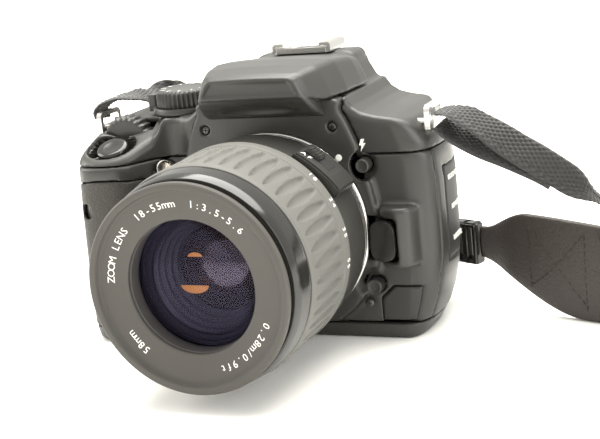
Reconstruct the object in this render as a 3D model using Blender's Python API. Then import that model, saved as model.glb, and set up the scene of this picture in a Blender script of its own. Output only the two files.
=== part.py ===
"""Digital single-lens reflex camera with a zoom lens and a neck strap.

The model stands on z = 0 and looks along -Y, with +X to the camera's left-hand side.
All sizes below are millimetres, measured from the lens mount: x from the lens axis,
y from the mount's flange plane and z from the base.  DATUM moves that point so that
the origin lies under the middle of the camera and lens.
"""
import math

import bmesh
import bpy
from mathutils import Matrix, Vector

MM = 0.001
GAP = 0.3
DATUM = (7.9, 4.2, 0.0)

# camera body
BODY_RIGHT = -71.7
BODY_LEFT = 54.8
GRIP_FRONT = -9.5
FACE_FRONT = 4.5
BACK = 48.3
FINDER_BACK = 52.4
EYECUP_BACK = 57.6
FRONT_SPLIT = 24.0
SIDE_SPLIT = 12.5
SIDE_CORNER = 45.0
TOP_SPLIT = 62.0
PLATE = 5.0
DOOR_THICK = 2.1
WALL = 2.4
SHOULDER = 80.4
SHOE_TOP = 94.2
SHOE_FLOOR = 90.6
SHOE_SPAN = (36.8, 51.5)
FLASH_BACK = 30.6
FLASH_HINGE = (0.0, 29.9, 90.0)

# controls
DIAL_CENTRE = (-37.6, 21.0)
DIAL_FLOOR = 75.0
SHUTTER_SPOT = (-58.5, 1.6, 66.6)
SHUTTER_WAY = Vector((0.0, -0.411, 0.911)).normalized()
MAIN_DIAL_AT = (-57.6, 13.0, 65.9)
MAIN_DIAL_R = 9.9
REAR_BUTTONS = {
    "menu_button": (41.4, 49.0, 2.3),
    "info_button": (41.4, 38.0, 2.3),
    "play_button": (41.4, 27.0, 2.3),
    "erase_button": (41.4, 16.0, 2.3),
    "set_button": (-32.5, 29.0, 3.4),
    "up_button": (-32.5, 37.6, 3.2),
    "down_button": (-32.5, 20.4, 3.2),
    "left_button": (-23.9, 29.0, 3.2),
    "right_button": (-41.1, 29.0, 3.2),
}
REAR_TOP_BUTTONS = {
    "exposure_lock_button": (-45.5, 68.0),
    "focus_point_button": (-57.0, 68.0),
}

# doors, strap lugs and mirror
PORT_HINGE = (54.6, 15.0, 39.5)
CARD_HINGE = (-71.3, 25.9, 35.0)
BATTERY_HINGE = (-58.0, 30.2, 1.2)
LUG_Z = 70.0
LUGS = {"strap_lug_left": (49.6, 14.0, 1), "strap_lug_right": (-67.4, 22.0, -1)}
MIRROR_PIVOT = (0.0, 32.0, 51.8)
MIRROR_LONG = 23.0
SUB_PIVOT_AT = 9.0

# lens
LENS_Z = 38.2
LENS_R = 34.25
LENS_FRONT = -66.0
THROAT_R = 26.6
FLANGE_R = 32.5
ZOOM_FRONT = -52.0
ZOOM_REAR = -21.0
SWITCH_TURN = 42.0

# neck strap: each route lists the points that its band passes through
WEB_WIDTH = 10.0
WEB_THICK = 1.8
PAD_TALL = 36.5
PAD_THICK = 4.0
PAD_END = (14.8, 25.8)
ROLL_CENTRE = (138.0, 50.0)
ROLL_R = 32.0
LEFT_WEB_ROUTE = [(55, 14, 73.3), (57.6, 13.7, 73.4), (60.6, 13.4, 72.8), (65, 12.8, 71), (69.8, 12.2, 68.1),
                  (74.5, 11.6, 64.9), (79.2, 11, 61.8), (83.9, 10.4, 59), (88.5, 9.8, 56.2), (93.1, 9.2, 53.4),
                  (99.3, 8, 49.5), (105.4, 6.6, 45.8), (112, 5, 41.4), (119, 3.6, 36), (125.4, 2.6, 31),
                  (130.6, 1.9, 27.0)]
RIGHT_WEB_ROUTE = [(-73, 22, 73.4), (-73.6, 22.4, 76), (-71.6, 23.4, 78.4), (-67.4, 25.4, 79.9), (-63, 30, 79.6),
                   (-60.4, 37, 78.4), (-58.8, 44, 77.8), (-57, 49.6, 76.6), (-54.6, 54.4, 71.6),
                   (-50.4, 56.8, 63), (-43, 57.6, 51.5), (-33, 58.8, 40), (-22, 60.4, 29.5), (-8, 61.4, 21.5), (6, 61.6, 17), (19, 60.6, 16),
                   (31, 58.4, 17.2), (40, 56.2, 18.5), (44.4, 54.7, 18.8)]
PAD_ROUTE = [(56, 49.2), (62, 44.6), (69, 39), (78, 34), (87, 30.2), (95, 27.4), (104, 24.6), (114, 22),
             (126, 20), (138, 19.6)]
SLIDER_AT = (50.0, 52.0, 19.4)


# ---------------------------------------------------------------- making meshes

def clear_scene():
    for item in list(bpy.data.objects):
        bpy.data.objects.remove(item, do_unlink=True)


def material(name, colour, roughness, metallic=0.0):
    mat = bpy.data.materials.get(name)
    if mat is None:
        mat = bpy.data.materials.new(name)
        mat.use_nodes = True
        shader = mat.node_tree.nodes["Principled BSDF"]
        shader.inputs["Base Color"].default_value = (*colour, 1.0)
        shader.inputs["Roughness"].default_value = roughness
        shader.inputs["Metallic"].default_value = metallic
        mat.diffuse_color = (*colour, 1.0)
    return mat


def black_plastic():
    return material("black_plastic", (0.035, 0.034, 0.033), 0.45)


def gloss_black():
    return material("gloss_black", (0.02, 0.02, 0.02), 0.2)


def grip_rubber():
    return material("grip_rubber", (0.045, 0.043, 0.040), 0.75)


def ring_rubber():
    return material("ring_rubber", (0.12, 0.12, 0.115), 0.6)


def bright_metal():
    return material("bright_metal", (0.7, 0.7, 0.68), 0.25, 1.0)


def dark_metal():
    return material("dark_metal", (0.2, 0.2, 0.2), 0.4, 1.0)


def clear_glass():
    return material("coated_glass", (0.05, 0.06, 0.12), 0.05)


def mirror_silver():
    return material("mirror_silver", (0.9, 0.9, 0.9), 0.03, 1.0)


def sensor_green():
    return material("sensor_green", (0.05, 0.12, 0.1), 0.15)


def screen_grey():
    return material("screen_grey", (0.06, 0.065, 0.07), 0.1)


def battery_grey():
    return material("battery_grey", (0.18, 0.18, 0.19), 0.5)


def webbing_black():
    return material("webbing_black", (0.05, 0.05, 0.05), 0.85)


def pad_leather():
    return material("pad_leather", (0.05, 0.04, 0.035), 0.6)


def world(x, y, z):
    return Vector(((x + DATUM[0]) * MM, (y + DATUM[1]) * MM, (z + DATUM[2]) * MM))


def from_bmesh(name, bm, mat, smooth=None):
    bmesh.ops.recalc_face_normals(bm, faces=bm.faces)
    mesh = bpy.data.meshes.new(name)
    bm.to_mesh(mesh)
    bm.free()
    obj = bpy.data.objects.new(name, mesh)
    bpy.context.collection.objects.link(obj)
    mesh.materials.append(mat)
    if smooth:
        mesh.shade_smooth()
        mesh.set_sharp_from_angle(angle=math.radians(smooth))
    return obj


def prism(name, outline, axis, low, high, mat=None):
    """Extrude an outline along x, y or z; the outline holds the other two coordinates."""
    place = {"x": lambda a, b, h: (h, a, b),
             "y": lambda a, b, h: (a, h, b),
             "z": lambda a, b, h: (a, b, h)}[axis]
    bm = bmesh.new()
    rings = [[bm.verts.new(world(*place(a, b, h))) for a, b in outline] for h in (low, high)]
    bm.faces.new(rings[0])
    bm.faces.new(rings[1])
    count = len(outline)
    for i in range(count):
        j = (i + 1) % count
        bm.faces.new((rings[0][i], rings[0][j], rings[1][j], rings[1][i]))
    return from_bmesh(name, bm, mat or black_plastic())


def box(name, x, y, z, mat=None):
    return prism(name, [(x[0], y[0]), (x[1], y[0]), (x[1], y[1]), (x[0], y[1])], "z", z[0], z[1], mat)


def arc(cx, cy, radius, start, end, steps):
    points = []
    for i in range(steps + 1):
        turn = math.radians(start + (end - start) * i / steps)
        points.append((cx + radius * math.cos(turn), cy + radius * math.sin(turn)))
    return points


def disc(radius, steps, cx=0.0, cy=0.0):
    return arc(cx, cy, radius, 0, 360 * (steps - 1) / steps, steps - 1)


def rounded(x, y, radius, steps=3):
    """Outline of a rectangle with round corners."""
    (x0, x1), (y0, y1) = x, y
    outline = arc(x1 - radius, y1 - radius, radius, 0, 90, steps)
    outline += arc(x0 + radius, y1 - radius, radius, 90, 180, steps)
    outline += arc(x0 + radius, y0 + radius, radius, 180, 270, steps)
    outline += arc(x1 - radius, y0 + radius, radius, 270, 360, steps)
    return outline


def lens_tube(name, profile, steps, mat, ribs=0, rib_depth=0.0):
    """Turn a closed (radius, y) profile about the lens axis."""
    bm = bmesh.new()
    rings = []
    outer = max(radius for radius, _ in profile)
    for i in range(steps):
        turn = 2 * math.pi * i / steps
        ring = []
        for radius, y in profile:
            dip = rib_depth if ribs and i % 2 and radius > outer - 0.01 else 0.0
            r = radius - dip
            ring.append(bm.verts.new(world(r * math.cos(turn), y, LENS_Z + r * math.sin(turn))))
        rings.append(ring)
    count = len(profile)
    for i in range(steps):
        nxt = (i + 1) % steps
        for j in range(count):
            k = (j + 1) % count
            bm.faces.new((rings[i][j], rings[i][k], rings[nxt][k], rings[nxt][j]))
    return from_bmesh(name, bm, mat, smooth=40)


def lens_solid(name, profile, steps, mat):
    """Turn an open (radius, y) profile that starts and ends on the lens axis."""
    bm = bmesh.new()
    first = bm.verts.new(world(0, profile[0][1], LENS_Z))
    last = bm.verts.new(world(0, profile[-1][1], LENS_Z))
    rings = []
    for radius, y in profile[1:-1]:
        rings.append([bm.verts.new(world(radius * math.cos(2 * math.pi * i / steps), y,
                                         LENS_Z + radius * math.sin(2 * math.pi * i / steps)))
                      for i in range(steps)])
    for i in range(steps):
        nxt = (i + 1) % steps
        bm.faces.new((first, rings[0][i], rings[0][nxt]))
        bm.faces.new((last, rings[-1][nxt], rings[-1][i]))
        for a, b in zip(rings, rings[1:]):
            bm.faces.new((a[i], b[i], b[nxt], a[nxt]))
    return from_bmesh(name, bm, mat, smooth=40)


def post(name, centre, direction, radius, length, steps, mat):
    """A round bar from centre along direction."""
    bm = bmesh.new()
    way = Vector(direction).normalized()
    turn = Vector((0, 0, 1)).rotation_difference(way).to_matrix().to_4x4()
    spot = Matrix.Translation(world(*centre)) @ turn @ Matrix.Translation((0, 0, length * MM / 2))
    bmesh.ops.create_cone(bm, cap_ends=True, segments=steps, radius1=radius * MM, radius2=radius * MM,
                          depth=length * MM, matrix=spot)
    return from_bmesh(name, bm, mat, smooth=40)


def combine(target, others, how):
    """Union, difference or intersection with other solids, which are used up."""
    for other in others:
        tool = target.modifiers.new("join", "BOOLEAN")
        tool.operation = how
        tool.solver = "EXACT"
        tool.object = other
        bpy.context.view_layer.update()
        ready = target.evaluated_get(bpy.context.evaluated_depsgraph_get())
        mesh = bpy.data.meshes.new_from_object(ready)
        target.modifiers.remove(tool)
        target.data = mesh
        bpy.data.objects.remove(other, do_unlink=True)
    return target


def cut(target, *others):
    return combine(target, others, "DIFFERENCE")


def join(target, *others):
    return combine(target, others, "UNION")


def keep(target, *others):
    return combine(target, others, "INTERSECT")


def finish_shell(obj, mat, angle=30):
    """Give a cut solid its one material, flat facets merged and soft shading."""
    obj.data.materials.clear()
    obj.data.materials.append(mat)
    bm = bmesh.new()
    bm.from_mesh(obj.data)
    bmesh.ops.remove_doubles(bm, verts=bm.verts, dist=1e-6)
    bmesh.ops.dissolve_limit(bm, angle_limit=math.radians(0.3), verts=bm.verts, edges=bm.edges)
    bmesh.ops.triangulate(bm, faces=bm.faces)
    for face in bm.faces:
        face.material_index = 0
    bm.to_mesh(obj.data)
    bm.free()
    obj.data.shade_smooth()
    obj.data.set_sharp_from_angle(angle=math.radians(angle))
    return obj


def pivot(obj, x, y, z):
    """Put an object's origin on its joint without moving its shape."""
    spot = world(x, y, z)
    obj.data.transform(Matrix.Translation(-spot))
    obj.location = spot
    return obj


# ---------------------------------------------------------------- body outline

def plan_outline():
    """The body seen from above, from the grip's side round the front to the back."""
    grip = [(BODY_RIGHT, 12), (BODY_RIGHT, 1), (-70.8, -4.4), (-67.4, -8.2), (-62, GRIP_FRONT), (-55, -9),
            (-50, -6), (-46, 0), (-42.5, 5), (-38, 7.5)]
    left = [(46, FACE_FRONT), (50.2, 5.8), (53, 9), (54.3, 13.5), (BODY_LEFT, 20), (54.6, 26), (53.2, 32.5),
            (51, 38.5), (48.6, 43.6), (46.4, 46.9), (43.4, BACK)]
    back = [(-61, BACK), (-66.4, 47), (-70.3, 43.6), (BODY_RIGHT, 38)]
    return grip + [(-34, 7.5), (-30, FACE_FRONT)] + left + back


def front_outline():
    """The body seen from the front: its rounded side, its shoulders and the rise to the flash."""
    left = [(43.6, 0), (46.8, 2.6), (49.8, 7), (52, 12.5), (53.6, 19), (54.6, 28), (BODY_LEFT, 40),
            (BODY_LEFT, 52), (54.2, 59), (52.9, 65), (50.6, 69), (47, 71.6), (42, 73), (36, 73.8), (31, 75.2),
            (28, 77.4), (26.2, SHOULDER)]
    right = [(-24.4, SHOULDER), (-26.5, 78), (-30, 75.8), (-41, 75.2), (-58, 75), (-64, 73.8), (-67.4, 70.8),
             (-69, 67), (-69.8, 62), (-70.9, 45), (BODY_RIGHT, 22), (BODY_RIGHT, 6), (-70.6, 1.4), (-68.8, 0)]
    return left + right


def hump_outline():
    """The finder housing behind the flash, flaring down on to the shoulders."""
    left = [(32, 60), (32, 73.2), (27.5, 76), (24.6, 79), (22.4, 83), (20.5, 86.5), (18, 89.3), (14, 90.3)]
    right = [(-14, 90.3), (-18, 89.3), (-20.5, 86.5), (-22.4, 83), (-24.4, 79), (-26.5, 76.5), (-26.5, 60)]
    return left + right


def turret_outline(grow=0.0):
    """The front plate round the lens, wide as the lens and narrow under the flash."""
    half = [(22, 80.1), (27, 74), (31, 62), (34, 50), (35.6, LENS_Z), (34, 26), (29, 16), (22, 8.5), (14, 4)]
    outline = [(x + grow, z + (grow if z > LENS_Z else -grow)) for x, z in half]
    return outline + [(-x, z) for x, z in reversed(outline)]


def shrunk(outline, amount):
    """Move an outline's sides inwards by the same amount, for a wall's inner face."""
    result = []
    count = len(outline)
    for i in range(count):
        before = Vector(outline[i - 1])
        here = Vector(outline[i])
        after = Vector(outline[(i + 1) % count])
        one = (here - before).normalized()
        two = (after - here).normalized()
        side = Vector((-one.y - two.y, one.x + two.x)).normalized()
        reach = amount / max(0.4, side.dot(Vector((-one.y, one.x))))
        result.append((here.x + side.x * reach, here.y + side.y * reach))
    return result


def body_solid(name):
    """The whole outside of the body, before it is split into covers."""
    solid = prism(name, plan_outline(), "z", PLATE + GAP, 100)
    keep(solid, prism("front_view", front_outline(), "y", -30, 70))
    slope = [(-40, 49.0), (14, 73.4), (30, 76), (30, 120), (-40, 120)]
    cut(solid, prism("grip_slope", slope, "x", -90, -42.5))
    join(solid, prism("hump", hump_outline(), "y", FLASH_BACK + 0.8, BACK - 0.4))
    finder = [(-18.2, 66), (18.2, 66), (18.2, 89.3), (14, 90.3), (-14, 90.3), (-18.2, 89.3)]
    return join(solid, prism("finder_block", finder, "y", BACK - 5, FINDER_BACK))


def cavity_parts():
    """The room inside the covers, kept clear of the grip's slope and the shutter button."""
    low = PLATE + GAP + WALL
    main = prism("room_main", shrunk(plan_outline(), WALL), "z", low, 78.2)
    keep(main, prism("room_front_view", shrunk(front_outline(), WALL), "y", 7.5, BACK - WALL))
    cut(main, box("slope_floor", (-80, -42), (0, 19), (66, 90)))
    return [main,
            box("room_grip", (-67.4, -50.4), (-4.8, 20), (low, 62.4)),
            box("room_finder", (-15.6, 15.6), (34, FINDER_BACK - WALL), (66, 87.6))]


# ---------------------------------------------------------------- covers

def front_cover():
    cover = body_solid("front_cover")
    keep(cover, box("front_part", (-80, SIDE_CORNER - 0.15), (-20, FRONT_SPLIT - 0.15), (0, TOP_SPLIT - 0.15)))
    side = body_solid("front_side")
    keep(side, box("side_part", (44, 60), (-20, SIDE_SPLIT - 0.15), (0, TOP_SPLIT - 0.15)))
    join(cover, side)
    join(cover, prism("turret", turret_outline(), "y", 1.8, 9.8))
    hood = [(36, 0.5), (41.5, -2.4), (45, -1.6), (47.6, 2), (48.4, 8), (36, 8)]
    join(cover, prism("release_housing", hood, "z", 25.5, 45.5))
    cut(cover, box("below_front", (-90, 90), (-30, 70), (-5, PLATE + GAP)))
    cut(cover, *cavity_parts())
    cut(cover, prism("throat", disc(THROAT_R, 48, 0, LENS_Z), "y", -5, 20))
    cut(cover, box("release_pocket", (30, 42.2), (-10, 3.4), (27.8, 41.9)))
    cut(cover, prism("preview_hole", disc(2.9, 16, 32.2, 18.6), "y", -5, 6.2))
    cut(cover, prism("flash_button_hole", disc(2.6, 16, 31.6, 58.6), "y", -5, 6.9))
    cut(cover, prism("name_plate_bed", name_plate_outline(0.3), "y", 0, 5.9))
    cut(cover, prism("lamp_hole", disc(3.3, 16, -41.2, 58), "y", -5, 16))
    cut(cover, skin_room(1.3 + GAP, GAP))
    cut(cover, battery_room())
    cut(cover, tripod_hole())
    return finish_shell(cover, black_plastic())


def skin_room(depth, ease):
    """The shallow bed round the grip that the rubber skin fills."""
    room = box("skin_room", (-80, -43 + ease), (-20, 20 + ease), (0, 57 + ease))
    return cut(room, prism("skin_core", shrunk(plan_outline(), depth), "z", -5, 110))


def grip_skin():
    skin = body_solid("grip_rubber")
    keep(skin, skin_room(1.3, 0.0))
    return finish_shell(skin, grip_rubber())


def battery_room(z=(-5, 12)):
    return box("battery_room", (-67.1, -50.7), (-4.3, 30.3), z)


def tripod_hole():
    return prism("tripod_hole", disc(5.1, 24, 0, 22), "z", -5, 12)


def top_cover():
    cover = body_solid("top_cover")
    keep(cover, box("top_part", (-90, 90), (-30, 70), (TOP_SPLIT + 0.15, 100)))
    cut(cover, prism("turret_room", turret_outline(GAP), "y", -20, 10.1))
    cut(cover, *cavity_parts())
    cut(cover, prism("dial_pocket", disc(12.5, 32, *DIAL_CENTRE), "z", DIAL_FLOOR, 100))
    cut(cover, prism("dial_hole", disc(3.3, 16, *DIAL_CENTRE), "z", 60, 100))
    cut(cover, box("main_dial_slot", (-70, -46.6), (9.4, 16.6), (56, 100)))
    cut(cover, post("shutter_hole", *along(SHUTTER_SPOT, SHUTTER_WAY, -9), SHUTTER_WAY, 6.0, 20, 24,
                    black_plastic()))
    cut(cover, prism("finder_window", rounded((-10, 10), (73, 85), 2), "y", BACK - 2, 60))
    for x, z in REAR_TOP_BUTTONS.values():
        cut(cover, prism("button_hole", disc(2.9, 16, x, z), "y", 40, 60))
    for x, y, _ in LUGS.values():
        cut(cover, post("lug_hole", (x - 12, y, LUG_Z), (1, 0, 0), 1.5, 24, 12, black_plastic()))
    cut(cover, box("right_lug_bed", (-90, -69.2), (13.6, 30.4), (66.2, 90)))
    return finish_shell(cover, black_plastic())


def rear_cover():
    cover = body_solid("rear_cover")
    keep(cover, box("rear_part", (-90, 46), (FRONT_SPLIT + 0.15, 60), (0, TOP_SPLIT - 0.15)))
    side = body_solid("rear_side")
    keep(side, box("rear_side_part", (SIDE_CORNER + 0.15, 90), (SIDE_SPLIT + 0.15, 60), (0, TOP_SPLIT - 0.15)))
    join(cover, side)
    cut(cover, *cavity_parts())
    wall = body_solid("port_wall")
    keep(wall, box("port_wall_part", (47.4, 60), (SIDE_SPLIT + 0.15, 35.4), (21, 58)))
    join(cover, wall)
    cut(cover, box("port_room", (49.6, 60), (15 - GAP, 33 + GAP), (24 - GAP, 55 + GAP)))
    cut(cover, box("card_room", (-80, -60), (26 - GAP, 38.5 + GAP), (12 - GAP, 58 + GAP)))
    cut(cover, box("screen_bed", (-19.8, 36.3), (47.7, 60), (9.7, 51.3)))
    cut(cover, battery_room(), tripod_hole())
    for x, z, radius in REAR_BUTTONS.values():
        cut(cover, prism("button_hole", disc(radius + GAP, 16, x, z), "y", 40, 60))
    return finish_shell(cover, black_plastic())


def bottom_cover():
    plate = prism("bottom_cover", plan_outline(), "z", 0, PLATE)
    keep(plate, prism("bottom_view", front_outline(), "y", -30, 70))
    cut(plate, box("bottom_room", (-46, 42), (10, BACK - WALL), (WALL, PLATE + 1)))
    cut(plate, box("battery_door_room", (-68.2, -48), (-4.8, 31.7), (-5, PLATE + 1)))
    cut(plate, tripod_hole())
    return finish_shell(plate, black_plastic())


def name_plate_outline(grow=0.0):
    """A low panel with its upper inner corner cut off."""
    x0, x1, z0, z1 = 33.2 - grow, 50.2 + grow, 6.0 - grow, 17.6 + grow
    return [(x0, z0), (x1, z0), (x1, z1), (x0 + 4, z1), (x0, z1 - 4)]


def name_plate():
    plate = body_solid("name_plate")
    keep(plate, prism("plate_room", name_plate_outline(), "y", 0, 5.6))
    return finish_shell(plate, gloss_black())


def thumb_rest():
    outline = rounded((-62, -47), (27, 57), 5)
    rest = prism("thumb_rest", outline, "y", BACK + GAP, BACK + 3.2)
    return finish_shell(rest, grip_rubber())


def lcd_window():
    return prism("lcd_window", rounded((-19.5, 36), (10, 51), 2.5), "y", 48.0, 50.0, screen_grey())


def eyecup():
    outline = rounded((-17.5, 17.5), (68.5, 88.6), 4.5)
    cup = prism("eyecup", outline, "y", FINDER_BACK + GAP, EYECUP_BACK, grip_rubber())
    cut(cup, prism("eye_opening", rounded((-11, 11), (72.5, 85.5), 3), "y", 40, 60))
    return finish_shell(cup, grip_rubber())


def eyepiece_lens():
    return prism("eyepiece_lens", rounded((-9.7, 9.7), (73.3, 84.7), 1.8), "y", 48.6, 51.0, clear_glass())


def hot_shoe():
    floor = SHOE_FLOOR + 0.9
    half = [(10.8, SHOE_FLOOR), (10.8, SHOE_TOP), (6.6, SHOE_TOP), (6.6, SHOE_TOP - 0.9),
            (9.4, SHOE_TOP - 0.9), (9.4, floor - 0.3), (6.3, floor - 0.3), (6.3, floor)]
    outline = half + [(-x, z) for x, z in reversed(half)]
    return prism("hot_shoe", outline, "y", *SHOE_SPAN, bright_metal())


# ---------------------------------------------------------------- strap lugs

def strap_lug(name):
    """A pin through the cover's shoulder with a flat eye for the webbing."""
    base, y, side = LUGS[name]
    pin = post(name, (base - side * 6, y, LUG_Z), (side, 0, 0), 1.2, 8.5, 12, bright_metal())
    x0 = base + side * 2.2
    x1 = base + side * 4.0
    eye = prism("eye", rounded((y - 7, y + 7), (LUG_Z - 2.2, LUG_Z + 6.4), 2), "x",
                min(x0, x1), max(x0, x1), bright_metal())
    cut(eye, prism("eye_slot", rounded((y - 5.4, y + 5.4), (LUG_Z + 1.6, LUG_Z + 4.8), 1), "x",
                   min(x0, x1) - 5, max(x0, x1) + 5))
    join(pin, eye)
    return finish_shell(pin, bright_metal())


# ---------------------------------------------------------------- inside the body

def mount_ring():
    profile = [(27.0, 0.0), (FLANGE_R, 0.0), (FLANGE_R, 1.5), (27.0, 1.5)]
    return lens_tube("mount_ring", profile, 48, bright_metal())


def mirror_box():
    case = box("mirror_box", (-17.5, 17.5), (7.9, 35.5), (LENS_Z - 17.5, LENS_Z + 16.3), dark_metal())
    cut(case, box("tunnel", (-16.2, 16.2), (0, 60), (LENS_Z - 16.2, LENS_Z + 15.2)))
    cut(case, box("finder_gap", (-14.2, 14.2), (0, 32.5), (LENS_Z, LENS_Z + 30)))
    return finish_shell(case, dark_metal())


def slanted_plate(name, start, end, thick, half_width, mat, pivot_at):
    """A flat plate from start to end in the (y, z) plane, thickened to one side."""
    a = Vector(start)
    b = Vector(end)
    way = (b - a).normalized()
    side = Vector((-way.y, way.x)) * thick
    outline = [tuple(a), tuple(b), tuple(b + side), tuple(a + side)]
    plate = prism(name, outline, "x", -half_width, half_width, mat)
    return pivot(plate, 0, *pivot_at)


def reflex_mirror():
    y, z = MIRROR_PIVOT[1:]
    reach = MIRROR_LONG * math.sqrt(0.5)
    return slanted_plate("reflex_mirror", (y, z), (y - reach, z - reach), 0.9, 13.2, mirror_silver(), (y, z))


def sub_mirror():
    y, z = MIRROR_PIVOT[1:]
    reach = SUB_PIVOT_AT * math.sqrt(0.5)
    lift = 1.0
    start = (y - reach + lift, z - reach - lift)
    end = (start[0] + 5.2, start[1] - 7.4)
    return slanted_plate("sub_mirror", start, end, 0.6, 6.0, mirror_silver(), start)


def focusing_screen():
    return box("focusing_screen", (-13.9, 13.9), (9.4, 31.5), (54.9, 56.4), clear_glass())


def pentamirror():
    outline = [(11, 56.9), (33, 56.9), (36.5, 66), (36.5, 76.8), (22, 77.6), (11, 70)]
    return prism("pentamirror", outline, "x", -15.2, 15.2, dark_metal())


def shutter_frame():
    frame = box("shutter_frame", (-19, 19), (35.9, 37.3), (LENS_Z - 18, LENS_Z + 17), dark_metal())
    cut(frame, box("gate", (-12.2, 12.2), (30, 45), (LENS_Z - 8.3, LENS_Z + 8.3)))
    return finish_shell(frame, dark_metal())


def shutter_curtain():
    return box("shutter_curtain", (-13.4, 13.4), (37.8, 38.4), (LENS_Z - 9, LENS_Z + 9), gloss_black())


def image_sensor():
    return box("image_sensor", (-15.5, 15.5), (42.0, 44.6), (LENS_Z - 12, LENS_Z + 12), sensor_green())


def battery_pack():
    return box("battery_pack", (-66.6, -51.4), (-3.6, 29.5), (2.6, 47.6), battery_grey())


def tripod_bush():
    bush = post("tripod_bush", (0, 22, 0.3), (0, 0, 1), 4.7, 8.5, 24, bright_metal())
    cut(bush, post("thread_room", (0, 22, -2), (0, 0, 1), 3.175, 8.3, 24, bright_metal()))
    return finish_shell(bush, bright_metal())


# ---------------------------------------------------------------- flash

def flash_loft():
    """Cross sections of the flash head from its front plate to its hinge."""
    return [(-9.5, 18.0, 83.0, 14.6, 89.7),
            (-6.0, 19.6, 80.8, 16.8, 90.7),
            (2.0, 23.0, 80.8, 19.0, 91.8),
            (12.0, 25.0, 80.8, 21.2, 92.4),
            (24.0, 25.8, 80.8, 22.4, 91.6),
            (FLASH_BACK, 25.8, 80.8, 22.0, 90.6)]


def flash_head():
    bm = bmesh.new()
    rings = []
    for y, wide, low, narrow, high in flash_loft():
        waist = low + (high - low) * 0.45
        half = [(wide - 1.2, low), (wide, low + 1.4), (wide - (wide - narrow) * 0.3, waist),
                (narrow + 0.9, high - 1.2), (narrow - 1.4, high), (0, high + 0.25)]
        mirrored = [(-x, z) for x, z in reversed(half[:-1])]
        rings.append([bm.verts.new(world(x, y, z)) for x, z in half + mirrored])
    for a, b in zip(rings, rings[1:]):
        count = len(a)
        for i in range(count):
            j = (i + 1) % count
            bm.faces.new((a[i], a[j], b[j], b[i]))
    bm.faces.new(rings[0])
    bm.faces.new(rings[-1])
    head = from_bmesh("flash_head", bm, black_plastic())
    brow = [(-8.6, 83.6), (-6, 79.8), (-2, 77.2), (1.4, 76.6), (1.4, 83.6)]
    join(head, prism("brow", brow, "x", -17.4, 17.4))
    cut(head, box("lamp_room", (-13.6, 13.6), (-3, 8), (70, 83.4)))
    finish_shell(head, black_plastic())
    return pivot(head, *FLASH_HINGE)


def flash_lens():
    lens = box("flash_lens", (-13.3, 13.3), (-2.7, 7.7), (81.1, 83.1), clear_glass())
    return pivot(lens, *FLASH_HINGE)


# ---------------------------------------------------------------- dials and buttons

def along(spot, way, distance):
    return (tuple(Vector(spot) + way * distance),)


def knurled(radius, depth, teeth, centre):
    """A toothed outline: crests and roots in turn."""
    points = []
    for i in range(teeth * 2):
        turn = math.pi * i / teeth
        reach = radius - (depth if i % 2 else 0.0)
        points.append((centre[0] + reach * math.cos(turn), centre[1] + reach * math.sin(turn)))
    return points


def mode_dial():
    dial = prism("mode_dial", knurled(10.3, 0.5, 36, DIAL_CENTRE), "z", 75.9, 83.4, black_plastic())
    join(dial, post("spindle", (*DIAL_CENTRE, 67), (0, 0, 1), 2.9, 10, 16, black_plastic()))
    finish_shell(dial, black_plastic())
    return pivot(dial, *DIAL_CENTRE, 75.9)


def power_switch():
    ring = prism("power_switch", disc(12.1, 32, *DIAL_CENTRE), "z", 75.35, 77.6, black_plastic())
    x, y = DIAL_CENTRE
    join(ring, box("tab", (x - 14.6, x - 11), (y - 2.4, y + 2.4), (75.6, 81.5)))
    cut(ring, prism("bore", disc(10.7, 32, *DIAL_CENTRE), "z", 60, 100))
    finish_shell(ring, black_plastic())
    return pivot(ring, x, y, 76)


def main_dial():
    x, y, z = MAIN_DIAL_AT
    wheel = prism("main_dial", knurled(MAIN_DIAL_R, 0.6, 24, (x, z)), "y", y - 3.2, y + 3.2, black_plastic())
    return pivot(wheel, x, y, z)


def shutter_button():
    spot = along(SHUTTER_SPOT, SHUTTER_WAY, -5.0)
    button = post("shutter_button", *spot, SHUTTER_WAY, 5.6, 5.6, 24, gloss_black())
    return pivot(button, *SHUTTER_SPOT)


def round_button(name, x, y0, y1, z, radius):
    button = post(name, (x, y0, z), (0, 1, 0), radius, y1 - y0, 16, black_plastic())
    return pivot(button, x, y0, z)


def lens_release_button():
    outline = [(33.6, -1.6), (35, -3.0), (40.6, -3.0), (41.8, -1.8), (41.8, 1.6), (33.6, 1.6)]
    button = prism("lens_release_button", outline, "z", 28.2, 41.5, black_plastic())
    return pivot(button, 37.6, -3.0, 34.8)


def rear_buttons():
    for name, (x, z, radius) in REAR_BUTTONS.items():
        round_button(name, x, BACK - 3.0, BACK + 0.9, z, radius)
    for name, (x, z) in REAR_TOP_BUTTONS.items():
        round_button(name, x, BACK - 3.0, BACK + 0.9, z, 2.6)


# ---------------------------------------------------------------- doors

def side_door(name, room, inwards):
    """The piece of the body's skin inside a room, its inner face moved inwards in x."""
    door = body_solid(name)
    keep(door, room)
    core = body_solid("door_core")
    core.data.transform(Matrix.Translation(Vector((inwards, 0, 0)) * MM))
    return cut(door, core)


def port_cover():
    door = side_door("port_cover", box("port_part", (45, 60), (15, 33), (24, 55)), -1.7)
    return pivot(finish_shell(door, grip_rubber()), *PORT_HINGE)


def card_door():
    door = side_door("card_door", box("card_part", (-80, -60), (26, 38.5), (12, 58)), 1.7)
    return pivot(finish_shell(door, black_plastic()), *CARD_HINGE)


def battery_door():
    door = box("battery_door", (-67.9, -48.3), (-4.5, 30.7), (0, DOOR_THICK), black_plastic())
    return pivot(door, *BATTERY_HINGE)


# ---------------------------------------------------------------- lens

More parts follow.
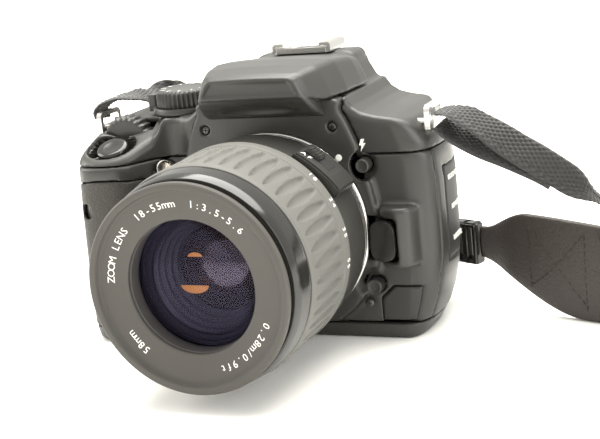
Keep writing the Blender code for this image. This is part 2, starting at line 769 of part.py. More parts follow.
def lens_mount():
    """Metal bayonet: a flange against the body's ring and a collar inside its throat."""
    profile = [(23.6, -1.4), (FLANGE_R - 0.4, -1.4), (FLANGE_R - 0.4, -0.3), (26.2, -0.3), (26.2, 4.6),
               (23.6, 4.6)]
    return lens_tube("lens_mount", profile, 48, bright_metal())


def lens_barrel():
    """Fixed rear barrel with a guide tube for the part that moves in and out."""
    profile = [(28.6, -1.7), (28.6, -44.0), (30.1, -44.0), (30.1, -20.6), (FLANGE_R + 0.6, -20.6),
               (FLANGE_R + 0.6, -4.0), (FLANGE_R - 0.6, -1.7)]
    barrel = lens_tube("lens_barrel", profile, 48, black_plastic())
    section = rounded((-6.6, 12), (LENS_Z + 31.5, LENS_Z + 35.4), 1.2)
    housing = turn_about_lens(prism("switch_housing", section, "y", -19.6, -5.5), SWITCH_TURN)
    cut(housing, prism("housing_core", disc(32, 48, 0, LENS_Z), "y", -30, 5))
    join(barrel, housing)
    pocket = box("switch_pocket", (-5, 4.9), (-15.5, -9.5), (LENS_Z + 34.1, LENS_Z + 40))
    cut(barrel, turn_about_lens(pocket, SWITCH_TURN))
    return finish_shell(barrel, black_plastic())


def turn_about_lens(obj, degrees):
    """Swing a shape made at the top of the lens round to the camera's left."""
    spot = world(0, 0, LENS_Z)
    turn = Matrix.Rotation(math.radians(degrees), 4, "Y")
    swing = Matrix.Translation(spot) @ turn @ Matrix.Translation(-spot)
    obj.data.transform(swing)
    return obj


def focus_switch():
    knob = box("focus_switch", (-4.6, 0.4), (-15.1, -9.9), (LENS_Z + 34.4, LENS_Z + 36.6), black_plastic())
    turn_about_lens(knob, SWITCH_TURN)
    return knob


def zoom_ring():
    profile = [(32.6, ZOOM_REAR), (32.6, ZOOM_FRONT), (33.6, ZOOM_FRONT), (LENS_R - 0.3, ZOOM_FRONT + 1.4),
               (LENS_R - 0.3, -30.5), (LENS_R, -26.0), (LENS_R, -22.5), (33.6, ZOOM_REAR)]
    return lens_tube("zoom_ring", profile, 60, ring_rubber())


def front_barrel():
    """Smooth barrel that slides out as the zoom ring turns."""
    profile = [(30.5, -24.0), (30.5, -55.0), (28.4, -56.5), (28.4, -61.4), (32.2, -61.4),
               (33.6, ZOOM_FRONT - 1.0),
               (33.4, ZOOM_FRONT - GAP), (32.2, ZOOM_FRONT - GAP), (32.2, -24.0)]
    return lens_tube("front_barrel", profile, 48, gloss_black())


def focus_ring():
    """Front ring with the filter thread and the sloping face round the glass."""
    profile = [(28.0, -61.7), (30.6, -61.7), (30.6, -63.4), (32.0, -63.9), (32.0, -65.6), (31.6, LENS_FRONT),
               (29.4, LENS_FRONT), (29.2, -64.6), (28.6, -64.2), (20.6, -62.9), (20.2, -61.0), (20.2, -55.5),
               (28.0, -55.5)]
    return lens_tube("focus_ring", profile, 48, black_plastic())


def front_element():
    profile = [(0, -61.0), (7, -60.7), (13, -59.6), (17.6, -58.0), (19.9, -56.8), (19.9, -54.0), (0, -54.0)]
    return lens_solid("front_element", profile, 36, clear_glass())


def aperture_unit():
    profile = [(5.0, -33.0), (24.0, -33.0), (24.0, -29.0), (5.0, -29.0)]
    return lens_tube("aperture_unit", profile, 36, gloss_black())


def rear_element():
    profile = [(0, -1.0), (11, -1.0), (13.2, 0.0), (13.2, 3.0), (9, 4.2), (0, 4.8)]
    return lens_solid("rear_element", profile, 32, clear_glass())


# ---------------------------------------------------------------- neck strap

def spline_through(points, per_gap):
    """Points on a smooth curve through a route, with even parameter steps."""
    route = [Vector(p) for p in points]
    first = route[0] * 2 - route[1]
    last = route[-1] * 2 - route[-2]
    guide = [first] + route + [last]
    result = []
    for i in range(1, len(guide) - 2):
        a, b, c, d = guide[i - 1:i + 3]
        for k in range(per_gap):
            t = k / per_gap
            result.append(0.5 * (2 * b + (c - a) * t + (2 * a - 5 * b + 4 * c - d) * t * t
                                 + (3 * b - a - 3 * c + d) * t ** 3))
    result.append(route[-1])
    return result


def ribbon(name, line, width_way, mat):
    """A flat band swept along a line; width_way(i) turns the band's width."""
    bm = bmesh.new()
    rings = []
    last = len(line) - 1
    for i, spot in enumerate(line):
        way = (line[min(i + 1, last)] - line[max(i - 1, 0)]).normalized()
        wide = width_way(i / last)
        wide = (wide - way * wide.dot(way)).normalized() * WEB_WIDTH / 2
        thick = way.cross(wide).normalized() * WEB_THICK / 2
        corners = (spot + wide + thick, spot - wide + thick, spot - wide - thick, spot + wide - thick)
        rings.append([bm.verts.new(world(*corner)) for corner in corners])
    for a, b in zip(rings, rings[1:]):
        for i in range(4):
            j = (i + 1) % 4
            bm.faces.new((a[i], a[j], b[j], b[i]))
    bm.faces.new(rings[0])
    bm.faces.new(rings[-1])
    return from_bmesh(name, bm, mat, smooth=50)


def blend_ways(stops):
    """Width direction between (place, direction) stops along a band."""
    def width_way(place):
        for (a, one), (b, two) in zip(stops, stops[1:]):
            if place <= b:
                part = (place - a) / (b - a)
                return Vector(one).lerp(Vector(two), part * part * (3 - 2 * part))
        return Vector(stops[-1][1])
    return width_way


def strap_web_left():
    ways = blend_ways([(0, (0, 1, 0)), (0.12, (0.2, 0.85, 0.45)), (0.3, (0.5, 0.52, 0.69)),
                       (0.5, (0.5, 0, 0.86)), (0.66, (0.2, -0.85, 0.35)), (0.84, (-0.1, -1, -0.2)),
                       (1, (0, 0, -1))])
    return ribbon("strap_web_left", spline_through(LEFT_WEB_ROUTE, 3), ways, webbing_black())


def strap_web_right():
    ways = blend_ways([(0, (0, 1, 0)), (0.14, (0, 1, 0)), (0.3, (1, 1, 0)), (0.42, (1, 0.1, 0)),
                       (0.52, (1, 0, 0.5)), (0.66, (0.4, 0, 1)), (1, (0, 0, 1))])
    return ribbon("strap_web_right", spline_through(RIGHT_WEB_ROUTE, 3), ways, webbing_black())


def pad_band(name, line, edges_at):
    """A standing band of leather with its own lower and upper edge at each place along it."""
    bm = bmesh.new()
    rings = []
    last = len(line) - 1
    for i, spot in enumerate(line):
        way = (line[min(i + 1, last)] - line[max(i - 1, 0)]).normalized()
        side = Vector((-way.y, way.x)) * PAD_THICK / 2
        low, high = edges_at(i / last)
        corners = ((spot - side, low), (spot + side, low), (spot + side, high), (spot - side, high))
        rings.append([bm.verts.new(world(c.x, c.y, h)) for c, h in corners])
    for a, b in zip(rings, rings[1:]):
        for i in range(4):
            j = (i + 1) % 4
            bm.faces.new((a[i], a[j], b[j], b[i]))
    bm.faces.new(rings[0])
    bm.faces.new(rings[-1])
    return from_bmesh(name, bm, pad_leather())


def ease(value):
    value = max(0.0, min(1.0, value))
    return value * value * (3 - 2 * value)


def pad_taper(place):
    """Lower and upper edge of the pad's free end, from the slider to its full height."""
    low, high = PAD_END
    return low * (1 - ease(place / 0.46)), high + (PAD_TALL - 0.02 - high) * ease(place / 0.22)


def tail_taper(place):
    """Lower and upper edge of the pad's other end, where the webbing is sewn in."""
    part = ease(place * 1.2 - 0.2)
    return 21.3 * part, PAD_TALL - 0.02 - 4 * part


def strap_pad():
    """The shoulder pad: its free end tapers to the slider, the rest is rolled on edge."""
    pad = prism("strap_pad", disc(ROLL_R, 40, *ROLL_CENTRE), "z", 0, PAD_TALL, pad_leather())
    line = [Vector(p) for p in spline_through(PAD_ROUTE, 2)]
    join(pad, pad_band("pad_free_end", line, pad_taper))
    turn = math.radians(-50)
    out = Vector((math.cos(turn), math.sin(turn)))
    touch = Vector(ROLL_CENTRE) + out * (ROLL_R - 1.5)
    way = Vector((-out.y, out.x))
    tail = [touch + way * (6 - 5 * i) for i in range(9)]
    join(pad, pad_band("pad_tail", tail, tail_taper))
    return finish_shell(pad, pad_leather())


def strap_slider():
    x, y, z = SLIDER_AT
    way = (Vector(PAD_ROUTE[0]) - Vector(RIGHT_WEB_ROUTE[-1][:2])).normalized()
    side = Vector((-way.y, way.x))
    centre = Vector((x, y))
    corners = [centre + way * a + side * b for a, b in ((-5.2, -2.6), (5.2, -2.6), (5.2, 2.6), (-5.2, 2.6))]
    return prism("strap_slider", [tuple(c) for c in corners], "z", z - 7.5, z + 7.5, gloss_black())


# ---------------------------------------------------------------- assembly

def build():
    clear_scene()
    front_cover()
    grip_skin()
    top_cover()
    rear_cover()
    bottom_cover()
    name_plate()
    thumb_rest()
    lcd_window()
    eyecup()
    eyepiece_lens()
    hot_shoe()
    for name in LUGS:
        strap_lug(name)
    mount_ring()
    mirror_box()
    reflex_mirror()
    sub_mirror()
    focusing_screen()
    pentamirror()
    shutter_frame()
    shutter_curtain()
    image_sensor()
    battery_pack()
    tripod_bush()
    flash_head()
    flash_lens()
    mode_dial()
    power_switch()
    main_dial()
    shutter_button()
    round_button("flash_button", 31.6, 1.4, 6.2, 58.6, 2.3)
    round_button("preview_button", 32.2, 0.6, 5.4, 18.6, 2.6)
    lens_release_button()
    rear_buttons()
    port_cover()
    card_door()
    battery_door()
    lens_mount()
    lens_barrel()
    focus_switch()
    zoom_ring()
    front_barrel()
    focus_ring()
    front_element()
    aperture_unit()
    rear_element()
    strap_web_left()
    strap_web_right()
    strap_pad()
    strap_slider()


build()
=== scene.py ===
"""A digital reflex camera with its zoom lens and neck strap, on a pale studio table."""
import math

import bmesh
import bpy
import numpy as np
from mathutils import Matrix, Quaternion, Vector


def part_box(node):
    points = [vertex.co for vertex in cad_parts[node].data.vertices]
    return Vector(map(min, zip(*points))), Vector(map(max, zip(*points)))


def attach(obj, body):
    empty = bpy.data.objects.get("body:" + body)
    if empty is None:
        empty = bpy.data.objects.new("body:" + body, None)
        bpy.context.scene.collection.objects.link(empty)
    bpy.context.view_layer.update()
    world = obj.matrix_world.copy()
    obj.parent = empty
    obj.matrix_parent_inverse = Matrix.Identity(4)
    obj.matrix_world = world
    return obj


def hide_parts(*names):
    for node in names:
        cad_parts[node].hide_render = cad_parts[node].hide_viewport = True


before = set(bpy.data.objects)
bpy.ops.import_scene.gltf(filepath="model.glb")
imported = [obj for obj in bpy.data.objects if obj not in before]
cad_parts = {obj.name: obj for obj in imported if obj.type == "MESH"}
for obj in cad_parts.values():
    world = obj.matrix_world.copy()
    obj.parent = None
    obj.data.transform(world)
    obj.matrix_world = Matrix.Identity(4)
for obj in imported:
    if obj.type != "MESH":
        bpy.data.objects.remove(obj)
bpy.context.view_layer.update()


# ------------------------------------------------------------ the viewpoint
# A short telephoto held a little above the lens and to the camera's left, not quite level.
# Everything is measured in millimetres from the lens axis, the mount's flange and the base.
ring_low, ring_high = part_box("mount_ring")
AXIS_X = (ring_low[0] + ring_high[0]) / 2
FLANGE_Y = ring_low[1]
MM = 0.001
LENS_Z = 38.2


def at(x, y, z):
    """A place x mm from the lens axis, y mm behind the flange and z mm above the base."""
    return Vector((AXIS_X + x * MM, FLANGE_Y + y * MM, z * MM))


EYE = at(181.85, -393.77, 148.41)
EYE_AIM = at(25.87, -38.29, 51.96)
EYE_ROLL = math.radians(-6.12)
EYE_FOCAL = 81.54

eye_data = bpy.data.cameras.new("viewpoint")
eye_data.sensor_width = 36.0
eye_data.lens = EYE_FOCAL
eye_data.clip_start = 0.01
eye = bpy.data.objects.new("viewpoint", eye_data)
bpy.context.collection.objects.link(eye)
eye.location = EYE
eye.rotation_mode = "QUATERNION"
eye.rotation_quaternion = (EYE_AIM - EYE).to_track_quat("-Z", "Y") @ Quaternion((0, 0, 1), EYE_ROLL)
bpy.context.scene.camera = eye


# ------------------------------------------------------------ table and light
# A seamless sheet of pale paper under a big soft light above and behind the camera.
# Two weaker lights at its sides and the bright room itself fill the front.
def shader_of(name):
    """A new material and its one shader."""
    mat = bpy.data.materials.new(name)
    mat.use_nodes = True
    return mat, mat.node_tree.nodes["Principled BSDF"]


def set_values(shader, **values):
    """Write plain numbers and colours on a shader's own sockets, named with underscores."""
    for key, value in values.items():
        socket = shader.inputs[key.replace("_", " ").title().replace("Ior", "IOR")]
        socket.default_value = (*value, 1.0) if isinstance(value, tuple) and len(value) == 3 else value


def table_sheet():
    half = 3.0
    mesh = bpy.data.meshes.new("table_sheet")
    corners = [(-half, -half, 0), (half, -half, 0), (half, half, 0), (-half, half, 0)]
    mesh.from_pydata([Vector(c) - Vector((0, 0, 0.0002)) for c in corners], [], [(0, 1, 2, 3)])
    sheet = bpy.data.objects.new("table_sheet", mesh)
    bpy.context.collection.objects.link(sheet)
    mat, shader = shader_of("table_paper")
    set_values(shader, base_color=(0.92, 0.91, 0.88), roughness=0.6)
    mesh.materials.append(mat)
    return sheet


def soft_light(name, place, aim, size, power, colour=(1.0, 1.0, 1.0)):
    data = bpy.data.lights.new(name, "AREA")
    data.shape = "RECTANGLE"
    data.size, data.size_y = size
    data.energy = power
    data.color = colour
    light = bpy.data.objects.new(name, data)
    bpy.context.collection.objects.link(light)
    light.location = place
    light.rotation_mode = "QUATERNION"
    light.rotation_quaternion = (Vector(aim) - Vector(place)).to_track_quat("-Z", "Y")
    return light


table_sheet()
soft_light("overhead", (0.1, 0.35, 1.3), (0, 0, 0.04), (1.6, 1.2), 52, (1.0, 0.98, 0.93))
soft_light("left_window", (-1.2, -0.2, 0.7), (0, 0, 0.04), (0.8, 1.0), 15, (1.0, 0.98, 0.94))
soft_light("right_window", (1.3, -0.3, 0.6), (0, 0, 0.04), (0.7, 0.9), 10, (0.96, 0.98, 1.0))

world = bpy.data.worlds.new("bright_room")
world.use_nodes = True
world.node_tree.nodes["Background"].inputs["Color"].default_value = (1.0, 0.985, 0.93, 1.0)
world.node_tree.nodes["Background"].inputs["Strength"].default_value = 1.25
bpy.context.scene.world = world
bpy.context.scene.view_settings.view_transform = "Standard"


# ------------------------------------------------------------ moulded covers
# Glass-filled plastic shells: front, top, back and base, screwed to the chassis with fine seams between.
# Each is cut from one shape, given as distances in millimetres on a grid, so that the seams always meet.
STEP = 0.65
GRID = [np.arange(low, high, STEP, dtype=np.float32) for low, high in ((-75, 60), (-13, 57), (-2.5, 97))]
GX, GY, GZ = np.ix_(*GRID)


def smooth_outline(points, steps=4):
    """A closed curve through the points."""
    here = np.array(points, float)
    before, after, beyond = np.roll(here, 1, 0), np.roll(here, -1, 0), np.roll(here, -2, 0)
    rows = []
    for i in range(steps):
        t = i / steps
        bend = (2 * before - 5 * here + 4 * after - beyond) * t ** 2
        bend += (3 * here - before - 3 * after + beyond) * t ** 3
        rows.append(here + 0.5 * ((after - before) * t + bend))
    return np.stack(rows, 1).reshape(-1, 2)


def outline_field(points, a, b):
    """Distance from a closed outline on the grid of a by b, negative inside it."""
    a, b = a.ravel()[:, None], b.ravel()[None, :]
    nearest = np.full((a.size, b.size), 1e9)
    inside = np.zeros(nearest.shape, bool)
    for (x0, y0), (x1, y1) in zip(points, np.roll(points, -1, 0)):
        dx, dy = x1 - x0, y1 - y0
        part = np.clip(((a - x0) * dx + (b - y0) * dy) / (dx * dx + dy * dy + 1e-9), 0, 1)
        nearest = np.minimum(nearest, (a - x0 - part * dx) ** 2 + (b - y0 - part * dy) ** 2)
        if abs(dy) > 1e-9:
            inside ^= ((y0 > b) != (y1 > b)) & (a < x0 + (b - y0) * dx / dy)
    return (np.where(inside, -1, 1) * np.sqrt(nearest)).astype(np.float32)


def front_shape(points, smooth=True):
    """An outline seen from the front, on the whole grid."""
    points = smooth_outline(points) if smooth else np.array(points, float)
    return outline_field(points, GX, GZ)[:, None, :]


def plan_shape(points, smooth=True):
    points = smooth_outline(points) if smooth else np.array(points, float)
    return outline_field(points, GX, GY)[:, :, None]


def slab(values, low, high):
    return np.maximum(low - values, values - high)


def both(a, b, r=0.0):
    """What is in a and in b, its edge rounded by r."""
    if not r:
        return np.maximum(a, b)
    return np.minimum(-r, np.maximum(a, b)) + np.hypot(np.maximum(a + r, 0), np.maximum(b + r, 0))


def either(a, b, r=0.0):
    """What is in a or in b, its inner corner filled by r."""
    if not r:
        return np.minimum(a, b)
    return np.maximum(r, np.minimum(a, b)) - np.hypot(np.maximum(r - a, 0), np.maximum(r - b, 0))


def without(a, b, r=0.0):
    return both(a, -b, r)


def egg(centre, radii):
    """An ellipsoid's field, near enough to a distance close to its surface."""
    parts = [(g - c) / q for g, c, q in zip((GX, GY, GZ), centre, radii)]
    size = np.sqrt(sum(p * p for p in parts)) + 1e-6
    return (size - 1) * min(radii)


def rod(axis, centre, radius):
    others = [g - c for g, c in zip((GX, GY, GZ), centre)]
    del others["xyz".index(axis)]
    return np.hypot(*others) - radius


def block(low, high, r=0.0):
    (x0, y0, z0), (x1, y1, z1) = low, high
    return both(both(slab(GX, x0, x1), slab(GY, y0, y1), r), slab(GZ, z0, z1), r)


def ramp(values, start, stop):
    part = np.clip((values - start) / (stop - start), 0, 1)
    return part * part * (3 - 2 * part)


def skin(name, field, keep=1.0):
    """A mesh over the field's zero: one point in each crossed cell, a face round each crossed edge."""
    field = np.broadcast_to(field, tuple(g.size for g in GRID))
    inside = np.array(field < 0)
    for face in (inside[0], inside[-1], inside[:, 0], inside[:, -1], inside[:, :, 0], inside[:, :, -1]):
        face[:] = False
    corners = [(i, j, k) for i in (0, 1) for j in (0, 1) for k in (0, 1)]
    shape = tuple(n - 1 for n in inside.shape)
    count = sum(inside[i:i + shape[0], j:j + shape[1], k:k + shape[2]].astype(np.int8) for i, j, k in corners)
    cells = np.argwhere((count > 0) & (count < 8))
    value = {c: field[tuple((cells + c).T)] for c in corners}
    within = {c: inside[tuple((cells + c).T)] for c in corners}
    total = np.zeros((len(cells), 3))
    crossings = np.zeros(len(cells))
    for c in corners:
        for axis in range(3):
            if c[axis]:
                continue
            d = tuple(n + (m == axis) for m, n in enumerate(c))
            crossed = within[c] != within[d]
            gap = value[c] - value[d]
            part = np.clip(value[c] / np.where(np.abs(gap) < 1e-6, 1, gap), 0, 1)
            place = np.array(c, float)[None, :].repeat(len(cells), 0)
            place[:, axis] += part
            total += place * crossed[:, None]
            crossings += crossed
    spots = cells + total / crossings[:, None]
    number = np.full(shape, -1, np.int32)
    number[tuple(cells.T)] = np.arange(len(cells))
    faces = []
    for axis in range(3):
        one, two = [n for n in range(3) if n != axis]
        ahead = np.roll(inside, -1, axis)
        edges = np.argwhere(inside != ahead)
        edges = edges[(edges > 0).all(1) & (edges[:, axis] < shape[axis])]
        ring = []
        for p, q in ((0, 0), (1, 0), (1, 1), (0, 1)):
            cell = edges.copy()
            cell[:, one] -= p
            cell[:, two] -= q
            ring.append(number[tuple(cell.T)])
        quads = np.stack(ring, 1)
        flip = inside[tuple(edges.T)] ^ (axis == 1)
        quads[~flip] = quads[~flip][:, ::-1]
        faces.append(quads)
    faces = np.concatenate(faces)
    origin = np.array([g[0] for g in GRID])
    base = np.array(at(0, 0, 0))
    mesh = bpy.data.meshes.new(name)
    mesh.from_pydata(((origin + spots * STEP) * MM + base).tolist(), [], faces.tolist())
    mesh.update()
    piece = bpy.data.objects.new(name, mesh)
    bpy.context.collection.objects.link(piece)
    if keep < 1:
        thin = piece.modifiers.new("thin", "DECIMATE")
        thin.ratio = keep
        bpy.context.view_layer.update()
        lean = bpy.data.meshes.new_from_object(piece.evaluated_get(bpy.context.evaluated_depsgraph_get()))
        piece.modifiers.clear()
        piece.data = lean
        bpy.data.meshes.remove(mesh)
        lean.name = name
    piece.data.shade_smooth()
    return piece


def fit(piece, node, body, mat=None):
    """The piece stands for its CAD node, moves with its body and takes its finish."""
    if mat:
        piece.data.materials.clear()
        piece.data.materials.append(mat)
    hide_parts(node)
    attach(piece, body)
    return piece


def moulded(name, colour, roughness, grain=900.0, depth=0.00002, uneven=0.08, **more):
    """A moulded surface: a fine grain in relief and a sheen that varies a little over it."""
    mat, shader = shader_of(name)
    set_values(shader, base_color=colour, roughness=roughness, **more)
    tree = mat.node_tree
    place = tree.nodes.new("ShaderNodeTexCoord").outputs["Object"]
    fine = tree.nodes.new("ShaderNodeTexNoise")
    fine.inputs["Scale"].default_value = grain
    fine.inputs["Detail"].default_value = 3.0
    broad = tree.nodes.new("ShaderNodeTexNoise")
    broad.inputs["Scale"].default_value = 45.0
    bump = tree.nodes.new("ShaderNodeBump")
    bump.inputs["Distance"].default_value = depth
    spread = tree.nodes.new("ShaderNodeMapRange")
    spread.inputs["To Min"].default_value = roughness - uneven
    spread.inputs["To Max"].default_value = roughness + uneven
    tree.links.new(place, fine.inputs["Vector"])
    tree.links.new(place, broad.inputs["Vector"])
    tree.links.new(fine.outputs["Fac"], bump.inputs["Height"])
    tree.links.new(bump.outputs["Normal"], shader.inputs["Normal"])
    tree.links.new(broad.outputs["Fac"], spread.inputs["Value"])
    tree.links.new(spread.outputs["Result"], shader.inputs["Roughness"])
    return mat


satin_black = moulded("satin_black_plastic", (0.027, 0.0255, 0.0228), 0.38, specular_ior_level=0.5)
gloss_black = moulded("gloss_black_plastic", (0.014, 0.0135, 0.012), 0.16, 400.0, 0.000004, 0.04)

BODY_LEFT, BODY_RIGHT, BACK = 54.8, -71.7, 48.3
PLAN = [(BODY_RIGHT, 12), (BODY_RIGHT, 1), (-70.8, -4.4), (-67.4, -8.2), (-62, -9.5), (-55, -9), (-50, -6),
        (-46, 0), (-42.5, 4.6), (-38.4, 7), (-34, 6.8), (-30, 4.9), (-24, 4.5), (0, 4.5), (24, 4.5), (40, 4.5),
        (46, 4.6), (50.2, 5.8), (53, 9), (54.3, 13.5), (BODY_LEFT, 20), (54.6, 26), (53.2, 32.5), (51, 38.5),
        (48.6, 43.6), (46.4, 46.9), (43.0, BACK), (36, BACK), (0, BACK), (-40, BACK), (-58, BACK), (-66.4, 47),
        (-70.3, 43.6), (BODY_RIGHT, 38), (BODY_RIGHT, 25)]
LEAN_LEFT = ((0, 2.6, 7, 12.5, 19, 28, 40, 52, 59, 65, 69, 74),
             (9.5, 7.6, 4.8, 2.7, 1.2, 0.2, 0, 0, 0.6, 1.9, 4.2, 8))
LEAN_RIGHT = ((0, 1.4, 6, 22, 45, 62, 67, 70.8, 74), (2.4, 1.0, 0, 0, 0.8, 1.9, 2.6, 4.0, 6.5))
SHOULDERS = [(-80, -20), (70, -20), (70, 62), (58, 63.5), (54.4, 66.2), (51, 69.4), (47, 71.8), (42, 73.1),
             (36, 74), (31.4, 75.2), (28.4, 77.2), (26.2, 80.4), (0, 80.4), (-24.4, 80.4), (-26.5, 78),
             (-30, 75.9), (-41, 75.2), (-58, 75), (-64, 74), (-68.4, 71.4), (-72, 67), (-80, 62)]
HUMP = [(33, 55), (33, 72.6), (27.5, 76), (24.6, 79), (22.4, 83), (20.5, 86.5), (18, 89.3), (14, 90.3),
        (-14, 90.3), (-18, 89.3), (-20.5, 86.5), (-22.4, 83), (-24.4, 79), (-27.5, 76), (-27.5, 55)]
THROAT = rod("y", (0, 0, LENS_Z), 26.6)


def leaned_plan():
    """The plan outline, drawn in at the sides by how much they lean at each height."""
    flat = plan_shape(PLAN)[:, :, 0]
    inwards = ramp(GRID[0], 34, 48)[:, None] * np.interp(GRID[2], *LEAN_LEFT)[None, :]
    inwards = inwards - ramp(-GRID[0], 40, 60)[:, None] * np.interp(GRID[2], *LEAN_RIGHT)[None, :]
    place = np.clip((GRID[0][:, None] + inwards - GRID[0][0]) / STEP, 0, GRID[0].size - 1.001)
    low = place.astype(int)
    part = (place - low)[:, :, None]
    return (flat[low] * (1 - part) + flat[low + 1] * part).transpose(0, 2, 1).astype(np.float32)


def whole_body():
    body = both(leaned_plan(), front_shape(SHOULDERS, False), 2.2)
    body = both(body, 0.0 - GZ, 1.2)
    slope = np.maximum((GZ - 73.4) * 0.911 - (GY - 14) * 0.411, (GZ - 74.6) * 0.987 - (GY - 14) * 0.16)
    body = both(body, slope - 34 * ramp(GX, -44.5, -30), 2.6)
    hump = both(front_shape(HUMP, False), slab(GY, 31.4, BACK - 0.4), 1.4)
    block_behind = both(both(slab(GX, -18.2, 18.2), GZ - 90.3, 3.0), slab(GY, BACK - 8, 52.4), 1.0)
    block_behind = both(block_behind, 66 - GZ, 1.0)
    return either(either(body, hump, 1.2), block_behind, 1.5)


TURRET = [(21, 81), (25.4, 76), (28.4, 70), (31.2, 62), (34, 50), (35.6, LENS_Z), (34, 26), (29, 16), (22, 8.6),
          (14, 5.6)]
GRIP_EDGE = [(-80, 2), (-42, 2), (-42, 53.5), (-47, 56), (-54, 57.2), (-62, 57), (-68, 56), (-80, 53)]
BADGE = [(33.4, 6.0), (50.4, 6.0), (50.4, 17.8), (37.6, 17.8), (33.4, 13.8)]
REAR_BUTTONS = ("menu_button", "info_button", "play_button", "erase_button", "set_button", "up_button",
                "down_button", "left_button", "right_button")
TURRET_SCREWS = ((-22.5, 71.5), (22.5, 71.5), (-29.5, 12.5), (29.5, 12.5))
COVER_WALL = 2.3
TRAY_TOP = 5.0
COVER_LOW = 5.3
SEAM = 0.35
LAMP_AT = (-41.2, 58)
DIAL_X, DIAL_Y = -37.6, 21.0
SHUTTER_AT = (-58.5, 1.6, 66.6)
turret = front_shape(TURRET + [(-x, z) for x, z in reversed(TURRET)])
name_plate = front_shape(BADGE, False)
grip_edge = both(front_shape(GRIP_EDGE, False), COVER_LOW - GZ)
whole = whole_body()
core = whole + COVER_WALL
lower_half = slab(GZ, COVER_LOW, 61.85)


def front_cover():
    side = np.where(GX < 45, GY - 23.85, GY - 10.0)
    cover = both(both(whole, lower_half, SEAM), side, SEAM)
    cover = either(cover, both(turret, slab(GY, 1.8, 9), 1.1), 1.6)
    hood = plan_shape([(36, 0.9), (41, -2.0), (44.6, -1.7), (47.2, 1.2), (48.6, 8), (42, 10), (36, 9)])
    cover = either(cover, both(hood, slab(GZ, 25.5, 45.5), 1.8), 1.4)
    cover = both(cover, slab(GZ, COVER_LOW, 81), 0.3)
    cover = np.maximum(cover, -core)
    cover = np.maximum(cover, -(np.maximum(turret + 2.5, slab(GY, 4.2, 12))))
    cover = without(cover, both(THROAT, slab(GY, -20, 20)), 0.4)
    cover = without(cover, block((30.2, -10, 27.6), (42.4, 4.4, 42.1), 1.4), 0.3)
    cover = without(cover, egg((32.4, 1.2, 19.4), (6.6, 3.4, 5.6)), 0.6)
    cover = without(cover, egg((31.6, 3.2, 58.6), (4.4, 3.0, 5.2)), 0.4)
    for x, z, r in ((32.2, 18.6, 2.9), (31.6, 58.6, 2.6), (*LAMP_AT, 3.3)):
        cover = np.maximum(cover, -both(rod("y", (x, 0, z), r), slab(GY, -20, 14)))
    cover = without(cover, both(name_plate - 0.3, slab(GY, -9, 5.9)), 0.2)
    for x, z in TURRET_SCREWS:
        cover = np.maximum(cover, -both(rod("y", (x, 0, z), 1.7), slab(GY, -20, 3.0)))
    grip = np.maximum(np.maximum(grip_edge - 0.3, GY - 20.3), GX + 42.7)
    return np.maximum(cover, -np.maximum(grip, -(whole + 1.6)))


def top_cover():
    cover = both(whole, 62.15 - GZ, SEAM)
    scoop = [(24, 84), (24.4, 78), (22.6, 74.6), (17, 73), (0, 72.4), (-17, 73), (-22.6, 74.6), (-24.4, 78),
             (-24, 84)]
    scoop = both(front_shape(scoop), slab(GY, -30, 3.4), 0.5)
    cover = np.maximum(cover, -scoop)
    cover = np.maximum(cover, -(np.maximum(turret - 0.3, slab(GY, -20, 10.1))))
    cover = np.maximum(cover, -core)
    cover = without(cover, both(rod("z", (DIAL_X, DIAL_Y, 0), 12.6), slab(GZ, 75, 100)), 0.3)
    cover = without(cover, egg((-57.6, 8.6, 74.4), (11.5, 7.2, 5.2)), 0.9)
    cover = np.maximum(cover, -block((-69, 9.3, 56), (-46.4, 16.7, 100), 0.5))
    x, y, z = SHUTTER_AT
    tilt = (GY - y) * 0.911 + (GZ - z) * 0.411
    depth = -0.9 - ((GZ - z) * 0.911 - (GY - y) * 0.411)
    cover = without(cover, both(np.hypot((GX - x) / 1.2, tilt) - 7.6, depth), 0.4)
    cover = np.maximum(cover, -both(np.hypot(GX - x, tilt) - 6.2, depth - 9))
    cover = np.maximum(cover, -both(rod("y", (0, 0, 79), 9.5), slab(GY, BACK - 2, 60)))
    for x, z in ((-45.5, 68), (-57, 68)):
        cover = np.maximum(cover, -both(rod("y", (x, 0, z), 2.9), slab(GY, 40, 60)))
    return cover


def rear_cover():
    side = np.where(GX < 45, 24.15 - GY, 10.3 - GY)
    cover = both(both(whole, lower_half, SEAM), side, SEAM)
    cover = np.maximum(cover, -core)
    cover = np.maximum(cover, -block((49.2, 14.7, 23.7), (70, 33.3, 55.3), 0.5))
    cover = np.maximum(cover, -block((-90, 25.7, 11.7), (-66, 38.8, 58.3), 0.5))
    cover = without(cover, block((-19.8, 47.2, 9.7), (36.3, 60, 51.3), 1.5), 0.3)
    for node in REAR_BUTTONS:
        low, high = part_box(node)
        x = ((low[0] + high[0]) / 2 - AXIS_X) / MM
        z = (low[2] + high[2]) / 2 / MM
        radius = (high[0] - low[0]) / 2 / MM
        cover = without(cover, both(rod("y", (x, 0, z), radius + 0.4), slab(GY, 40, 60)), 0.3)
    return cover


fit(skin("front_cover_skin", front_cover(), 0.34), "front_cover", "root", satin_black)
fit(skin("top_cover_skin", top_cover(), 0.36), "top_cover", "root", satin_black)
fit(skin("rear_cover_skin", rear_cover(), 0.26), "rear_cover", "root", satin_black)
base = both(both(whole, GZ - TRAY_TOP, SEAM), -0.0 - GZ)
base = np.maximum(base, -np.maximum(core, 2.4 - GZ))
base = np.maximum(base, -block((-68.2, -4.8, -5), (-48, 31.7, 8)))
base = np.maximum(base, -both(rod("z", (0, 22, 0), 5.1), slab(GZ, -5, 12)))
fit(skin("bottom_cover_skin", base, 0.4), "bottom_cover", "root", satin_black)


